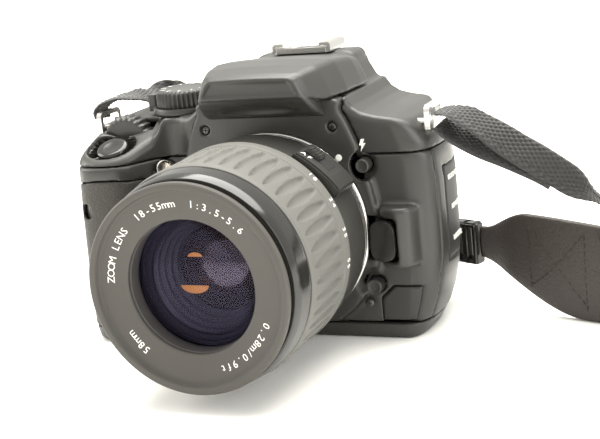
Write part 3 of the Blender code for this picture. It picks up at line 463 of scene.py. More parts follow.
# ------------------------------------------------------------ grip rubber
# A thin skin of soft black rubber, moulded with a fine leather grain and glued round the grip.
# The blank badge panel is a polished plastic plate, let into the front cover.
def grained_rubber(name, colour, roughness, scale, depth):
    mat, shader = shader_of(name)
    set_values(shader, base_color=colour, roughness=roughness, specular_ior_level=0.35)
    tree = mat.node_tree
    place = tree.nodes.new("ShaderNodeTexCoord").outputs["Object"]
    cells = tree.nodes.new("ShaderNodeTexVoronoi")
    cells.inputs["Scale"].default_value = scale
    bump = tree.nodes.new("ShaderNodeBump")
    bump.inputs["Distance"].default_value = depth
    tree.links.new(place, cells.inputs["Vector"])
    tree.links.new(cells.outputs["Distance"], bump.inputs["Height"])
    tree.links.new(bump.outputs["Normal"], shader.inputs["Normal"])
    return mat


grip_black = grained_rubber("grip_rubber_skin_grain", (0.036, 0.033, 0.029), 0.52, 1500.0, 0.00018)
grip = both(both(whole, np.maximum(np.maximum(grip_edge, GY - 20), GX + 43), SEAM), -(whole + 1.3))
grip = np.maximum(grip, -both(rod("y", (-66.0, 0, 46.5), 2.6), slab(GY, -20, 2)))
fit(skin("grip_rubber_skin", grip, 0.45), "grip_rubber", "root", grip_black)
fit(skin("name_panel", both(both(whole, name_plate, 0.3), GY - 5.6), 0.6), "name_plate", "root",
    moulded("panel_black", (0.016, 0.015, 0.014), 0.3, 900.0, 0.000006))


# ------------------------------------------------------------ lens mount and barrel
# A plated steel ring on the body and one on the lens, with three shallow notches, and the fixed
# black barrel with its raised housing for the focus switch.
def softened(profile, r):
    """The profile with each inner corner turned into a short arc."""
    rows = [profile[0]]
    for before, here, after in zip(profile, profile[1:], profile[2:]):
        b, h, a = Vector(before), Vector(here), Vector(after)
        if (h - b).angle(a - h, 0) < 0.06:
            rows.append(here)
            continue
        one = h + (b - h).normalized() * min(r, (b - h).length * 0.45)
        two = h + (a - h).normalized() * min(r, (a - h).length * 0.45)
        rows += [tuple(one), tuple(one * 0.25 + h * 0.5 + two * 0.25), tuple(two)]
    return rows + [profile[-1]]


def turned(name, profile, r=0.35, steps=180, reach=None, closed=True):
    """A shape turned about the lens axis from (radius, place) pairs; reach adds relief to its radius."""
    line = softened(profile + [profile[0]], r) if closed else softened(profile, r)
    line = line[:-1] if closed else line
    verts, faces = [], []
    for i in range(steps):
        angle = 2 * math.pi * i / steps
        for radius, y in line:
            radius = radius + (reach(angle, y, radius) if reach else 0)
            verts.append(at(radius * math.sin(angle), y, LENS_Z + radius * math.cos(angle)))
    count = len(line)
    for i in range(steps):
        j = (i + 1) % steps
        for k in range(count if closed else count - 1):
            n = (k + 1) % count
            faces.append((i * count + k, j * count + k, j * count + n, i * count + n))
    mesh = bpy.data.meshes.new(name)
    mesh.from_pydata(verts, [], faces)
    piece = bpy.data.objects.new(name, mesh)
    bpy.context.collection.objects.link(piece)
    bm = bmesh.new()
    bm.from_mesh(mesh)
    bmesh.ops.remove_doubles(bm, verts=bm.verts, dist=1e-7)
    bmesh.ops.recalc_face_normals(bm, faces=bm.faces)
    bm.to_mesh(mesh)
    bm.free()
    mesh.shade_smooth()
    mesh.set_sharp_from_angle(angle=math.radians(40))
    return piece


chrome = moulded("plated_steel", (0.62, 0.61, 0.59), 0.24, 300.0, 0.000004, 0.06, metallic=1.0)
ring_profile = [(27.0, 0.0), (31.6, 0.0), (32.5, 0.5), (32.5, 1.5), (27.0, 1.5)]
fit(turned("body_mount_ring", ring_profile), "mount_ring", "root", chrome)
notched = [(23.6, -1.4), (32.1, -1.4), (32.1, -0.3), (26.2, -0.3), (26.2, 4.6), (23.6, 4.6)]
fit(turned("lens_bayonet", notched, 0.2), "lens_mount", "lens", chrome)


def barrel_relief(angle, y, radius):
    """Three shallow notches at the back edge of the barrel."""
    turn = math.degrees(angle) % 120
    return -1.3 if radius > 31 and y > -4.6 and (turn < 7 or 16 < turn < 23) else 0.0


barrel_profile = [(28.6, -1.7), (28.6, -44.0), (30.1, -44.0), (30.1, -20.6), (32.6, -20.6), (33.1, -19.8),
                  (33.1, -7.0), (32.8, -6.2), (32.9, -4.6), (32.3, -4.4), (31.9, -1.7)]
barrel = turned("lens_barrel_tube", barrel_profile, 0.25, 360, barrel_relief)
fit(barrel, "lens_barrel", "lens", satin_black)


def placed(name, verts, faces, mat, width=0.3, segments=2):
    """A small solid with its edges eased by width millimetres."""
    mesh = bpy.data.meshes.new(name)
    mesh.from_pydata([at(*v) for v in verts], [], faces)
    piece = bpy.data.objects.new(name, mesh)
    bpy.context.collection.objects.link(piece)
    bm = bmesh.new()
    bm.from_mesh(mesh)
    bmesh.ops.recalc_face_normals(bm, faces=bm.faces)
    if width:
        bmesh.ops.bevel(bm, geom=bm.edges, offset=width * MM, segments=segments, affect="EDGES",
                        clamp_overlap=True)
    bm.to_mesh(mesh)
    bm.free()
    mesh.shade_smooth()
    mesh.set_sharp_from_angle(angle=math.radians(50))
    mesh.materials.append(mat)
    return piece


def bar(name, outline, axis, low, high, mat, width=0.3, segments=2, turn=None):
    """An outline pushed along an axis; turn moves each point first."""
    where = {"x": (1, 2, 0), "y": (0, 2, 1), "z": (0, 1, 2)}[axis]
    verts = []
    for h in (low, high):
        for a, b in outline:
            spot = [0, 0, 0]
            spot[where[0]], spot[where[1]], spot[where[2]] = a, b, h
            verts.append(turn(spot) if turn else spot)
    n = len(outline)
    faces = [tuple(range(n)), tuple(range(2 * n - 1, n - 1, -1))]
    faces += [(i, (i + 1) % n, (i + 1) % n + n, i + n) for i in range(n)]
    return placed(name, verts, faces, mat, width, segments)


def oblong(a0, a1, b0, b1, r=0.0, steps=5):
    """A rectangle's outline with corners of radius r."""
    if not r:
        return [(a0, b0), (a1, b0), (a1, b1), (a0, b1)]
    rows = []
    centres = ((a1 - r, b0 + r), (a1 - r, b1 - r), (a0 + r, b1 - r), (a0 + r, b0 + r))
    for (ca, cb), start in zip(centres, (-90, 0, 90, 180)):
        for i in range(steps + 1):
            turn = math.radians(start + 90 * i / steps)
            rows.append((ca + r * math.cos(turn), cb + r * math.sin(turn)))
    return rows


def round_lens(spot, degrees=42.0):
    """A place above the lens swung round it, towards the camera's left."""
    turn = math.radians(degrees)
    x, y, z = spot[0], spot[1], spot[2] - LENS_Z
    return (x * math.cos(turn) + z * math.sin(turn), y, LENS_Z - x * math.sin(turn) + z * math.cos(turn))


def arched(name, a0, a1, y0, y1, z0, z1, mat, width=0.3, drop=0.0):
    """A raised block that follows the barrel, swung round it to the switch's place."""
    rows = []
    steps = 9
    for i in range(steps + 1):
        a = a0 + (a1 - a0) * i / steps
        rows.append((a, LENS_Z + z1 - drop * ((i / steps - 0.5) * 2) ** 2))
    outline = rows + [(a1, LENS_Z + z0), (a0, LENS_Z + z0)]
    return bar(name, outline, "y", y0, y1, mat, width, 2, round_lens)


housing = arched("switch_housing", -6.6, 12, -19.6, -5.5, 31.2, 35.4, satin_black, 0.6, 1.0)
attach(housing, "lens")
# The switch's slot is not cut: a near-black plate on top of the housing is painted shade for the recess round
# the knob.
slot_shade_black = moulded("painted_slot_shade", (0.004, 0.004, 0.004), 0.6)
slot_shade_plate = arched("switch_slot_painted_shade", -5.0, 4.9, -15.5, -9.5, 34.6, 35.45, slot_shade_black, 0.2)
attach(slot_shade_plate, "lens")
knob = arched("switch_knob", -4.6, 0.4, -15.1, -9.9, 34.4, 36.6, satin_black, 0.35)
fit(knob, "focus_switch", "focus_mode")
for n in range(4):
    rib = arched(f"switch_rib_{n}", -4.0 + n * 1.1, -3.5 + n * 1.1, -14.6, -10.4, 36.4, 36.9, satin_black, 0.12)
    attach(rib, "focus_mode")


# ------------------------------------------------------------ zoom ring
# A grey rubber sleeve stretched over the turning ring, with rows of long leaf-shaped hollows.
def leaf_relief(angle, y, radius):
    if radius < 33.2:
        return 0.0
    across = (angle * 44 / (2 * math.pi) % 1.0 - 0.5) * 2
    along = (y + 38.0) / 10.4
    if abs(along) >= 1:
        return 0.0
    half = 0.72 * (1 - along * along) ** 0.6
    hollow = max(0.0, 1 - (across / max(half, 0.01)) ** 2)
    return -1.0 * hollow ** 0.6


ring_rubber = grained_rubber("zoom_ring_rubber", (0.115, 0.113, 0.103), 0.55, 2600.0, 0.00003)
ring_line = [(32.6, -21.0), (32.6, -52.0), (33.5, -52.0), (33.95, -51.0)]
ring_line += [(33.95, -50.0 + n * 0.8) for n in range(29)]
ring_line += [(33.95, -27.2), (34.25, -27.0), (34.25, -22.2), (33.6, -21.0)]
sleeve = turned("zoom_ring_sleeve", ring_line, 0.12, 528, leaf_relief)
fit(sleeve, "zoom_ring", "zoom", ring_rubber)


# ------------------------------------------------------------ front barrel and name ring
# The polished inner barrel that slides out, and the front ring with its sloping, lettered face.
front_profile = [(30.5, -24.0), (30.5, -55.0), (28.4, -56.5), (28.4, -61.4), (32.2, -61.4), (33.0, -58.4),
                 (33.5, -53.4), (33.4, -52.3), (32.2, -52.3), (32.2, -24.0)]
front_tube = turned("front_barrel_tube", front_profile, 0.3)
fit(front_tube, "front_barrel", "front_group", gloss_black)
matt_black = moulded("matt_black_plastic", (0.05, 0.046, 0.040), 0.55, 1500.0, 0.00002)


rim_profile = [(28.0, -61.7), (30.6, -61.7), (30.6, -63.2), (31.9, -63.7), (32.0, -65.5), (31.4, -66.0),
               (29.9, -66.0), (29.5, -65.6), (29.75, -65.3), (29.4, -65.0), (29.6, -64.7), (29.2, -64.4),
               (28.7, -64.2), (28.2, -64.15), (21.0, -62.95), (20.4, -62.7), (20.3, -61.6), (20.6, -61.4),
               (20.2, -61.1), (20.2, -55.5), (28.0, -55.5)]
fit(turned("front_ring", rim_profile, 0.14, 240), "focus_ring", "focus", matt_black)


# ------------------------------------------------------------ lettering
# White paint stamped on the plastic, with plain numbers and words only.
# Each letter is a thin solid laid on the surface that carries it.
paint, paint_shader = shader_of("white_paint")
set_values(paint_shader, base_color=(0.8, 0.79, 0.75), roughness=0.5)


def letter(name, text, size, place, across, up, body, mat=None, thick=0.05):
    """Text laid flat: across and up give its directions, place the middle of its base line."""
    data = bpy.data.curves.new(name, "FONT")
    data.body = text
    data.size = size * 1.4
    data.align_x = "CENTER"
    data.extrude = thick / 2
    data.resolution_u = 2
    shape = bpy.data.objects.new(name, data)
    bpy.context.collection.objects.link(shape)
    bpy.context.view_layer.update()
    mesh = bpy.data.meshes.new_from_object(shape.evaluated_get(bpy.context.evaluated_depsgraph_get()))
    bpy.data.objects.remove(shape)
    mesh.name = name
    across, up = Vector(across).normalized(), Vector(up).normalized()
    out = across.cross(up)
    frame_of = Matrix((across, up, out)).transposed().to_4x4()
    frame_of.translation = at(*place)
    mesh.transform(frame_of @ Matrix.Scale(MM, 4))
    mesh.materials.clear()
    mesh.materials.append(mat or paint)
    piece = bpy.data.objects.new(name, mesh)
    bpy.context.collection.objects.link(piece)
    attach(piece, body)
    return piece


def ring_words(name, words, middle, gap, radius=24.4, body="focus"):
    """Words round the sloping face; middle is the angle of their centre, from the top."""
    for n, sign in enumerate(words):
        if sign == " ":
            continue
        turn = math.radians(middle + (n - (len(words) - 1) / 2) * gap)
        out = Vector((math.sin(turn), -0.165, math.cos(turn)))
        across = Vector((math.cos(turn), 0, -math.sin(turn)))
        y = -64.15 + (28.2 - radius) * 0.1667 - 0.06
        spot = (radius * math.sin(turn), y, LENS_Z + radius * math.cos(turn))
        letter(f"{name}_{n}", sign, 2.3, spot, across, out, body)


ring_words("lens_words", "ZOOM LENS  18-55mm  1:3.5-5.6", -19, 4.7)
ring_words("distance_words", "0.28m/0.9ft", 138, 4.7)
ring_words("thread_words", "58mm", -132, 4.7)


# ------------------------------------------------------------ glass and what is seen through it
# A strongly curved front lens with a violet coating, in front of stepped black baffles.
# A second lens sits deeper down with an amber-tinted coat, and two warm half discs in front of it are painted
# reflections: flat plates that glow.
def clear(name, tint, coat, sheen, roughness=0.0):
    mat, shader = shader_of(name)
    set_values(shader, base_color=tint, roughness=roughness, metallic=0.0)
    shader.inputs["Transmission Weight"].default_value = 1.0
    shader.inputs["IOR"].default_value = 1.45
    shader.inputs["Specular Tint"].default_value = (*coat, 1.0)
    shader.inputs["Specular IOR Level"].default_value = sheen
    return mat


front_glass = bpy.data.materials.new("violet_coated_glass")
front_glass.use_nodes = True
glass_tree = front_glass.node_tree
glass_tree.nodes.remove(glass_tree.nodes["Principled BSDF"])
see_through = glass_tree.nodes.new("ShaderNodeBsdfTransparent")
see_through.inputs["Color"].default_value = (0.82, 0.82, 0.88, 1.0)
shine = glass_tree.nodes.new("ShaderNodeBsdfGlossy")
shine.inputs["Color"].default_value = (0.62, 0.58, 0.9, 1.0)
shine.inputs["Roughness"].default_value = 0.02
rim = glass_tree.nodes.new("ShaderNodeFresnel")
rim.inputs["IOR"].default_value = 1.22
glass_mix = glass_tree.nodes.new("ShaderNodeMixShader")
glass_tree.links.new(rim.outputs["Fac"], glass_mix.inputs["Fac"])
glass_tree.links.new(see_through.outputs["BSDF"], glass_mix.inputs[1])
glass_tree.links.new(shine.outputs["BSDF"], glass_mix.inputs[2])
glass_tree.links.new(glass_mix.outputs["Shader"], glass_tree.nodes["Material Output"].inputs["Surface"])
dome = [(0.0, -61.0)] + [(19.9 * n / 14, -61.0 + 4.2 * (n / 14) ** 2) for n in range(1, 15)]
dome += [(19.9, -56.0), (0.0, -56.0)]
fit(turned("front_glass", dome, 0.02, 120, closed=False), "front_element", "focus", front_glass)
baffle_black, baffle_shader = shader_of("baffle_black")
set_values(baffle_shader, base_color=(0.009, 0.008, 0.009), roughness=0.45)
steps_in = [(20.0, -55.3)]
for n in range(7):
    radius = 19.2 - n * 1.05
    steps_in += [(radius + 0.5, -55.0 + n * 2.2), (radius, -54.6 + n * 2.2), (radius, -53.4 + n * 2.2)]
steps_in += [(12.0, -39.4), (12.0, -38.0), (20.4, -38.0), (20.4, -55.3)]
baffles = turned("inner_baffles", steps_in, 0.1, 120)
baffles.data.materials.append(baffle_black)
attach(baffles, "front_group")
bowl, bowl_shader = shader_of("amber_coated_glass")
set_values(bowl_shader, base_color=(0.02, 0.016, 0.018), roughness=0.05)
bowl_shader.inputs["Coat Weight"].default_value = 1.0
bowl_shader.inputs["Coat Roughness"].default_value = 0.02
bowl_shader.inputs["Coat Tint"].default_value = (1.0, 0.75, 0.4, 1.0)
bowl_shader.inputs["Specular Tint"].default_value = (0.5, 0.4, 1.0, 1.0)
bowl_line = [(0.0, -47.0)] + [(13.4 * n / 10, -47.0 + 4.4 * (n / 10) ** 2) for n in range(1, 11)]
bowl_line += [(13.4, -41.0), (0.0, -41.0)]
second = turned("second_lens", bowl_line, 0.02, 96, closed=False)
second.data.materials.append(bowl)
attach(second, "front_group")
# Painted reflections: two flat amber half discs that glow, where the inner lens would throw back warm light.
for name, place, angle, size in (("painted_deep_reflection", (-6.0, -48.9, 34.4), 180, 4.6),
                                 ("painted_near_reflection", (-4.4, -49.6, 43.6), 0, 2.4)):
    amber, amber_shader = shader_of(name + "_coat")
    set_values(amber_shader, base_color=(0.55, 0.2, 0.03), roughness=0.3)
    amber_shader.inputs["Emission Color"].default_value = (0.8, 0.34, 0.06, 1.0)
    amber_shader.inputs["Emission Strength"].default_value = 0.35
    turns = [math.radians(angle + 12 * n) for n in range(16)]
    half = [(place[0] + size * math.cos(t), place[2] + size * 0.55 * math.sin(t)) for t in turns]
    spot = bar(name, half, "y", place[1], place[1] + 0.2, amber, 0.05, 1)
    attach(spot, "front_group")


# ------------------------------------------------------------ pop-up flash
# A moulded plastic head that fills the front of the finder housing, hinged on a pin at its back edge.
# Its front panel is set in a little, and the lip under it has an oval hollow for a fingertip.
def flash_head():
    depth = (-9.5, -6, 2, 12, 24, 30.6)
    wide = np.interp(GY, depth, (18.2, 20.0, 23.4, 25.4, 26.0, 26.0))
    narrow = np.interp(GY, depth, (14.8, 16.8, 19.2, 21.2, 22.4, 22.2))
    high = np.interp(GY, depth, (89.7, 90.9, 92.1, 92.6, 91.8, 90.8)) - 0.002 * GX ** 2
    part = np.clip((GZ - 81) / (high - 81), 0, 1)
    head = both(np.abs(GX) - wide + (wide - narrow) * part ** 1.4, GZ - high, 1.5)
    head = both(both(head, 80.8 + 2.2 * ramp(-GY, -1, 9) - GZ, 0.4), slab(GY, -9.5, 30.6), 0.9)
    brow = [(-8.9, 84), (-8.4, 82.2), (-6, 79.6), (-3, 77.4), (1.6, 75.2), (3.0, 75.2), (3.0, 84)]
    brow = outline_field(np.array(brow), GY, GZ)[None]
    brow = both(brow, np.abs(GX) - 18.4 - 0.5 * (84 - GZ) * 0.6, 0.8)
    head = either(head, brow, 0.5)
    head = without(head, egg((0, -5.6, 77.6), (14.5, 5.0, 3.6)), 0.5)
    panel = front_shape([(-16.4, 84.2), (16.4, 84.2), (13.4, 88.5), (-13.4, 88.5)], False)
    return without(head, both(panel, GY + 8.9), 0.4)


fit(skin("flash_head_skin", flash_head(), 0.6), "flash_head", "flash", satin_black)


# ------------------------------------------------------------ hot shoe
# A bent steel channel, plated and open above, with its two rails folded over to hold a foot.
# It is screwed down on a black plastic floor that carries five plated contacts.
SHOE_FRONT, SHOE_BACK = 36.8, 51.5
rail = [(10.8, 90.9), (10.8, 93.6), (10.2, 94.2), (6.6, 94.2), (6.6, 93.3), (9.6, 93.3), (9.6, 92.4),
        (9.6, 91.2), (6.3, 91.2), (6.3, 90.9)]
other_rail = [(-x, z) for x, z in rail]
shoe = bar("shoe_rail_left", rail, "y", SHOE_FRONT, SHOE_BACK, chrome, 0.12)
fit(shoe, "hot_shoe", "root")
for piece in (bar("shoe_rail_right", other_rail, "y", SHOE_FRONT, SHOE_BACK, chrome, 0.12),
              bar("shoe_floor", oblong(-6.2, 6.2, 37.2, 51.2, 0.6), "z", 90.7, 91.5, satin_black, 0.15),
              bar("shoe_stop", oblong(-9.4, 9.4, SHOE_FRONT, 38.0, 0.3), "z", 90.8, 92.6, chrome, 0.15)):
    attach(piece, "root")
CONTACTS = ((0, 45, 1.5), (-3.4, 41.4, 0.9), (3.4, 41.4, 0.9), (-3.4, 48.4, 0.9), (3.4, 48.4, 0.9))
for n, (x, y, r) in enumerate(CONTACTS):
    outline = oblong(x - r, x + r, y - r, y + r, r - 0.05)
    contact = bar(f"shoe_contact_{n}", outline, "z", 91.4, 91.65, chrome, 0.06)
    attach(contact, "root")


# ------------------------------------------------------------ mode dial and power lever
# A knurled plastic wheel with painted marks round its top, turning on a spindle in the top cover.
# The ring lever under it switches the camera on; its tab sticks out towards the grip.
def knurled_dial(name, x, y, low, high, radius, teeth, mat, bulge=0.45):
    verts, faces = [], []
    rows = ((radius - 1.6, low), (radius - 0.3, low + 0.4), (radius, low + 0.9), (radius, high - 1.1),
            (radius - 0.4, high - 0.5), (radius - 1.3, high), (radius - 2.6, high - 0.15))
    steps = teeth * 6
    for i in range(steps):
        turn = 2 * math.pi * i / steps
        for k, (r, z) in enumerate(rows):
            wave = bulge * (0.5 - 0.5 * math.cos(turn * teeth)) if k in (1, 2, 3, 4) else 0
            verts.append((x + (r - wave) * math.cos(turn), y + (r - wave) * math.sin(turn), z))
    count = len(rows)
    for i in range(steps):
        j = (i + 1) % steps
        for k in range(count - 1):
            faces.append((i * count + k, j * count + k, j * count + k + 1, i * count + k + 1))
    faces.append(tuple(i * count + count - 1 for i in range(steps)))
    faces.append(tuple(i * count for i in reversed(range(steps))))
    return placed(name, verts, faces, mat, 0)


dial = knurled_dial("mode_dial_wheel", DIAL_X, DIAL_Y, 75.9, 83.4, 10.7, 40, satin_black, 0.6)
fit(dial, "mode_dial", "mode_dial")
lever = turned("power_lever_ring", [(10.9, 0), (12.0, 0), (12.1, 0.6), (11.9, 2.1), (10.9, 2.2)], 0.2, 96)
lever.data.transform(Matrix.Translation(at(DIAL_X, DIAL_Y, 75.4)) @ Matrix.Rotation(math.radians(90), 4, "X")
                     @ Matrix.Translation(-at(0, 0, LENS_Z)))
fit(lever, "power_switch", "power_switch", satin_black)
tab_outline = oblong(DIAL_X - 14.5, DIAL_X - 11.2, DIAL_Y - 2.3, DIAL_Y + 2.3, 0.8)
tab = bar("power_lever_tab", tab_outline, "z", 75.7, 81.4, satin_black, 0.5)
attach(tab, "power_switch")
for n, sign in enumerate(("A", "P", "T", "V", "M", "1", "2", "3", "4", "5", "6", "7")):
    turn = math.radians(100 - n * 30)
    out = Vector((math.cos(turn), math.sin(turn), 0))
    spot = (DIAL_X + out.x * 7.2, DIAL_Y + out.y * 7.2, 83.42)
    letter(f"dial_mark_{n}", sign, 1.9, spot, (out.y, -out.x, 0), out, "mode_dial")


# ------------------------------------------------------------ main dial and shutter button
# A toothed plastic wheel set on edge in a slot behind the shutter button, on a pin from front to back.
# The button is a dished cap of polished plastic, sprung, in an oval recess in the grip's slope.
WHEEL_AT = (-57.6, 13.0, 65.9)
from_datum = Matrix.Translation(-at(0, 0, 0))
wheel = knurled_dial("main_dial_wheel", 0, 0, -3.2, 3.2, 9.9, 26, satin_black, 0.8)
wheel.data.transform(Matrix.Translation(at(*WHEEL_AT)) @ Matrix.Rotation(math.radians(90), 4, "X") @ from_datum)
fit(wheel, "main_dial", "main_dial")
slope = Vector((0, -0.411, 0.911)).normalized()
leant = Vector((0, 0, 1)).rotation_difference(slope).to_matrix().to_4x4()
tip = Matrix.Translation(at(*SHUTTER_AT)) @ leant @ from_datum
ROUND = 64
dome_rows = [(5.6, -4.6), (5.7, -0.4), (5.4, 0.3), (4.6, 0.6), (3.0, 0.45), (1.4, 0.3), (0.0, 0.25)]
turns = [math.tau * i / ROUND for i in range(ROUND)]
verts = [(r * math.cos(t), r * math.sin(t), h) for r, h in dome_rows[:-1] for t in turns]
verts.append((0, 0, dome_rows[-1][1]))
rings = [[k * ROUND + i for i in range(ROUND)] for k in range(6)]
faces = []
for lower, upper in zip(rings, rings[1:]):
    faces += [(lower[i], lower[(i + 1) % ROUND], upper[(i + 1) % ROUND], upper[i]) for i in range(ROUND)]
faces += [(rings[-1][i], rings[-1][(i + 1) % ROUND], len(verts) - 1) for i in range(ROUND)]
faces.append(tuple(reversed(rings[0])))
button = placed("shutter_button_cap", verts, faces, gloss_black, 0)
button.data.transform(tip)
fit(button, "shutter_button", "shutter_button")


# ------------------------------------------------------------ strap webbing
# Ten-millimetre nylon webbing in a coarse plain weave, looped through a steel eye on each side.
# It is limp but holds a twist; its tail is doubled back under it on the camera's left.
WEB_WIDTH, WEB_THICK = 10.0, 1.8


def through(points, spacing):
    """Evenly spaced places on a smooth curve through the points."""
    here = np.array(points, float)
    ends = np.vstack([2 * here[0] - here[1], here, 2 * here[-1] - here[-2]])
    rows = []
    for a, b, c, d in zip(ends, ends[1:], ends[2:], ends[3:]):
        t = np.linspace(0, 1, 40, endpoint=False)[:, None]
        bend = (2 * a - 5 * b + 4 * c - d) * t ** 2 + (3 * b - a - 3 * c + d) * t ** 3
        rows.append(b + 0.5 * ((c - a) * t + bend))
    line = np.vstack(rows + [here[-1:]])
    far = np.concatenate([[0], np.cumsum(np.linalg.norm(np.diff(line, axis=0), axis=1))])
    marks = np.linspace(0, far[-1], max(2, int(far[-1] / spacing) + 1))
    return np.stack([np.interp(marks, far, line[:, n]) for n in range(line.shape[1])], 1), marks


def turning(stops, places):
    """The width's direction at each place, eased between (place, direction) stops."""
    at_stop = np.array([s[0] for s in stops])
    ways = np.array([s[1] for s in stops], float)
    n = np.clip(np.searchsorted(at_stop, places, "right") - 1, 0, len(stops) - 2)
    part = np.clip((places - at_stop[n]) / (at_stop[n + 1] - at_stop[n]), 0, 1)
    part = (part * part * (3 - 2 * part))[:, None]
    return ways[n] * (1 - part) + ways[n + 1] * part


def webbing(name, route, stops, mat, spacing=0.47, width=WEB_WIDTH, thick=WEB_THICK, yarns=13):
    line, far = through(route, spacing)
    way = np.gradient(line, axis=0)
    way /= np.linalg.norm(way, axis=1)[:, None]
    wide = turning(stops, far / far[-1])
    wide -= way * (wide * way).sum(1)[:, None]
    wide /= np.linalg.norm(wide, axis=1)[:, None]
    out = np.cross(way, wide)
    across = np.linspace(-1, 1, yarns * 3 + 1)
    edge = np.sqrt(np.clip(1 - np.abs(across) ** 8, 0, 1))
    weave = np.abs(np.sin(across * yarns * math.pi / 2)) ** 0.8
    odd = np.where(np.floor((across + 1) * yarns / 2) % 2 > 0, 1.0, -1.0)
    lift = 0.42 * weave[None, :] * np.sin(far * 2 * math.pi / 2.6)[:, None] * odd[None, :]
    rows = []
    for side in (1, -1):
        height = edge[None, :] * (thick / 2 - 0.3 + side * lift)
        rows.append(line[:, None, :] + wide[:, None, :] * (across * width / 2)[None, :, None]
                    + out[:, None, :] * (side * height)[:, :, None])
    ring = np.concatenate([rows[0], rows[1][:, ::-1]], 1)
    count = ring.shape[1]
    index = np.arange(len(line) * count).reshape(len(line), count)
    ahead = np.roll(index, -1, 1)
    faces = np.stack([index[:-1], index[1:], ahead[1:], ahead[:-1]], -1).reshape(-1, 4).tolist()
    faces += [index[0].tolist(), index[-1][::-1].tolist()]
    mesh = bpy.data.meshes.new(name)
    mesh.from_pydata((ring.reshape(-1, 3) * MM + np.array(at(0, 0, 0))).tolist(), [], faces)
    piece = bpy.data.objects.new(name, mesh)
    bpy.context.collection.objects.link(piece)
    mesh.shade_smooth()
    mesh.materials.append(mat)
    return piece, far[-1], [at(*p) for p in line[::6]] + [at(*line[-1])]


nylon = moulded("black_nylon_webbing", (0.022, 0.0215, 0.021), 0.55, 2500.0, 0.00005, sheen_weight=0.35,
                sheen_roughness=0.4)
LEFT_ROUTE = [(55, 14, 73.3), (57.6, 13.7, 73.4), (60.6, 13.4, 72.8), (65, 12.8, 71), (69.8, 12.2, 68.1),
              (74.5, 11.6, 64.9), (79.2, 11, 61.8), (83.9, 10.4, 59), (88.5, 9.8, 56.2), (93.1, 9.2, 53.4),
              (99.3, 8, 49.5), (105.4, 6.6, 45.8), (112, 5, 41.4), (119, 3.6, 36), (125.4, 2.6, 31),
              (130.6, 1.9, 27.0)]
LEFT_WAYS = [(0, (0, 1, 0)), (0.12, (0.2, 0.85, 0.45)), (0.3, (0.5, 0.52, 0.69)), (0.5, (0.5, 0, 0.86)),
             (0.66, (0.2, -0.85, 0.35)), (0.84, (-0.1, -1, -0.2)), (1, (0, 0, -1))]
RIGHT_ROUTE = [(-73, 22, 73.4), (-73.6, 22.4, 76), (-71.6, 23.4, 78.4), (-67.4, 25.4, 79.9), (-63, 30, 79.6),
               (-60.4, 37, 78.4), (-58.8, 44, 77.8), (-57, 49.6, 76.6), (-54.6, 54.4, 71.6), (-50.4, 56.8, 63),
               (-43, 57.6, 51.5), (-33, 58.8, 40), (-22, 60.4, 29.5), (-8, 61.4, 21.5), (6, 61.6, 17),
               (19, 60.6, 16), (31, 58.4, 17.2), (40, 56.2, 18.5), (44.4, 54.7, 18.8)]
RIGHT_WAYS = [(0, (0, 1, 0)), (0.14, (0, 1, 0)), (0.3, (1, 1, 0)), (0.42, (1, 0.1, 0)), (0.52, (1, 0, 0.5)),
              (0.66, (0.4, 0, 1)), (1, (0, 0, 1))]
UNDER_WAYS = [(0, (0.1, 0.9, 0.3)), (0.5, (0.4, 0.7, 0.6)), (1, (0.5, 0.4, 0.75))]
UNDER_ROUTE = [(54.6, 13.6, 69.4), (57.6, 13.4, 67.2), (61.6, 12.9, 65.0), (67.7, 12.4, 62.4),
               (74.1, 11.9, 60.0), (80.5, 11.4, 57.6), (86.8, 10.9, 55.0), (91.5, 10.6, 52.4)]
left_web, left_long, left_path = webbing("strap_webbing_left", LEFT_ROUTE, LEFT_WAYS, nylon)
fit(left_web, "strap_web_left", "root")
under_web = webbing("strap_tail_left", UNDER_ROUTE, UNDER_WAYS, nylon, 0.6, 9.6, 1.4)[0]
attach(under_web, "root")
right_web, right_long, right_path = webbing("strap_webbing_right", RIGHT_ROUTE, RIGHT_WAYS, nylon, 0.65)
fit(right_web, "strap_web_right", "root")


# ------------------------------------------------------------ strap slider and pad
# A moulded slider, then the synthetic leather pad, which tapers to it; the pad's length is rolled up.
slide_way = Vector((56 - 44.4, 49.2 - 54.7)).normalized()
slide_side = Vector((-slide_way.y, slide_way.x))


def by_slider(along, aside):
    spot = Vector((50.0, 52.0)) + slide_way * along + slide_side * aside
    return (spot.x, spot.y)


def slider_part(name, a0, a1, b0, b1, low, high, width=0.6):
    corners = [by_slider(a, b) for a, b in ((a0, b0), (a1, b0), (a1, b1), (a0, b1))]
    return bar(name, corners, "z", low, high, gloss_black, width, 3)


slider = slider_part("slider_bar", -1.4, 1.4, -2.6, 2.6, 11.9, 26.9)
fit(slider, "strap_slider", "root")
for name, a0, a1, low, high in (("slider_front", 3.2, 5.2, 11.9, 26.9), ("slider_back", -5.2, -3.2, 11.9, 26.9),
                                ("slider_top", -5.0, 5.0, 25.0, 26.9), ("slider_foot", -5.0, 5.0, 11.9, 13.8)):
    piece = slider_part(name, a0, a1, -2.4, 2.4, low, high)
    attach(piece, "root")
PAD_ROUTE = [(56, 49.2), (62, 44.6), (69, 39), (78, 34), (87, 30.2), (95, 27.4), (104, 24.6), (114, 22),
             (126, 20)]
ROLL = []
for n in range(52):
    turn, far = math.tau * n / 16, 30.2 - 4.4 * n / 16
    ROLL.append((138 + far * math.sin(turn), 50 - far * math.cos(turn)))
pad_line, pad_far = through([(*p, 0) for p in PAD_ROUTE + ROLL], 1.6)
free_long = 92.0


def eased(part):
    part = np.clip(part, 0, 1)
    return part * part * (3 - 2 * part)


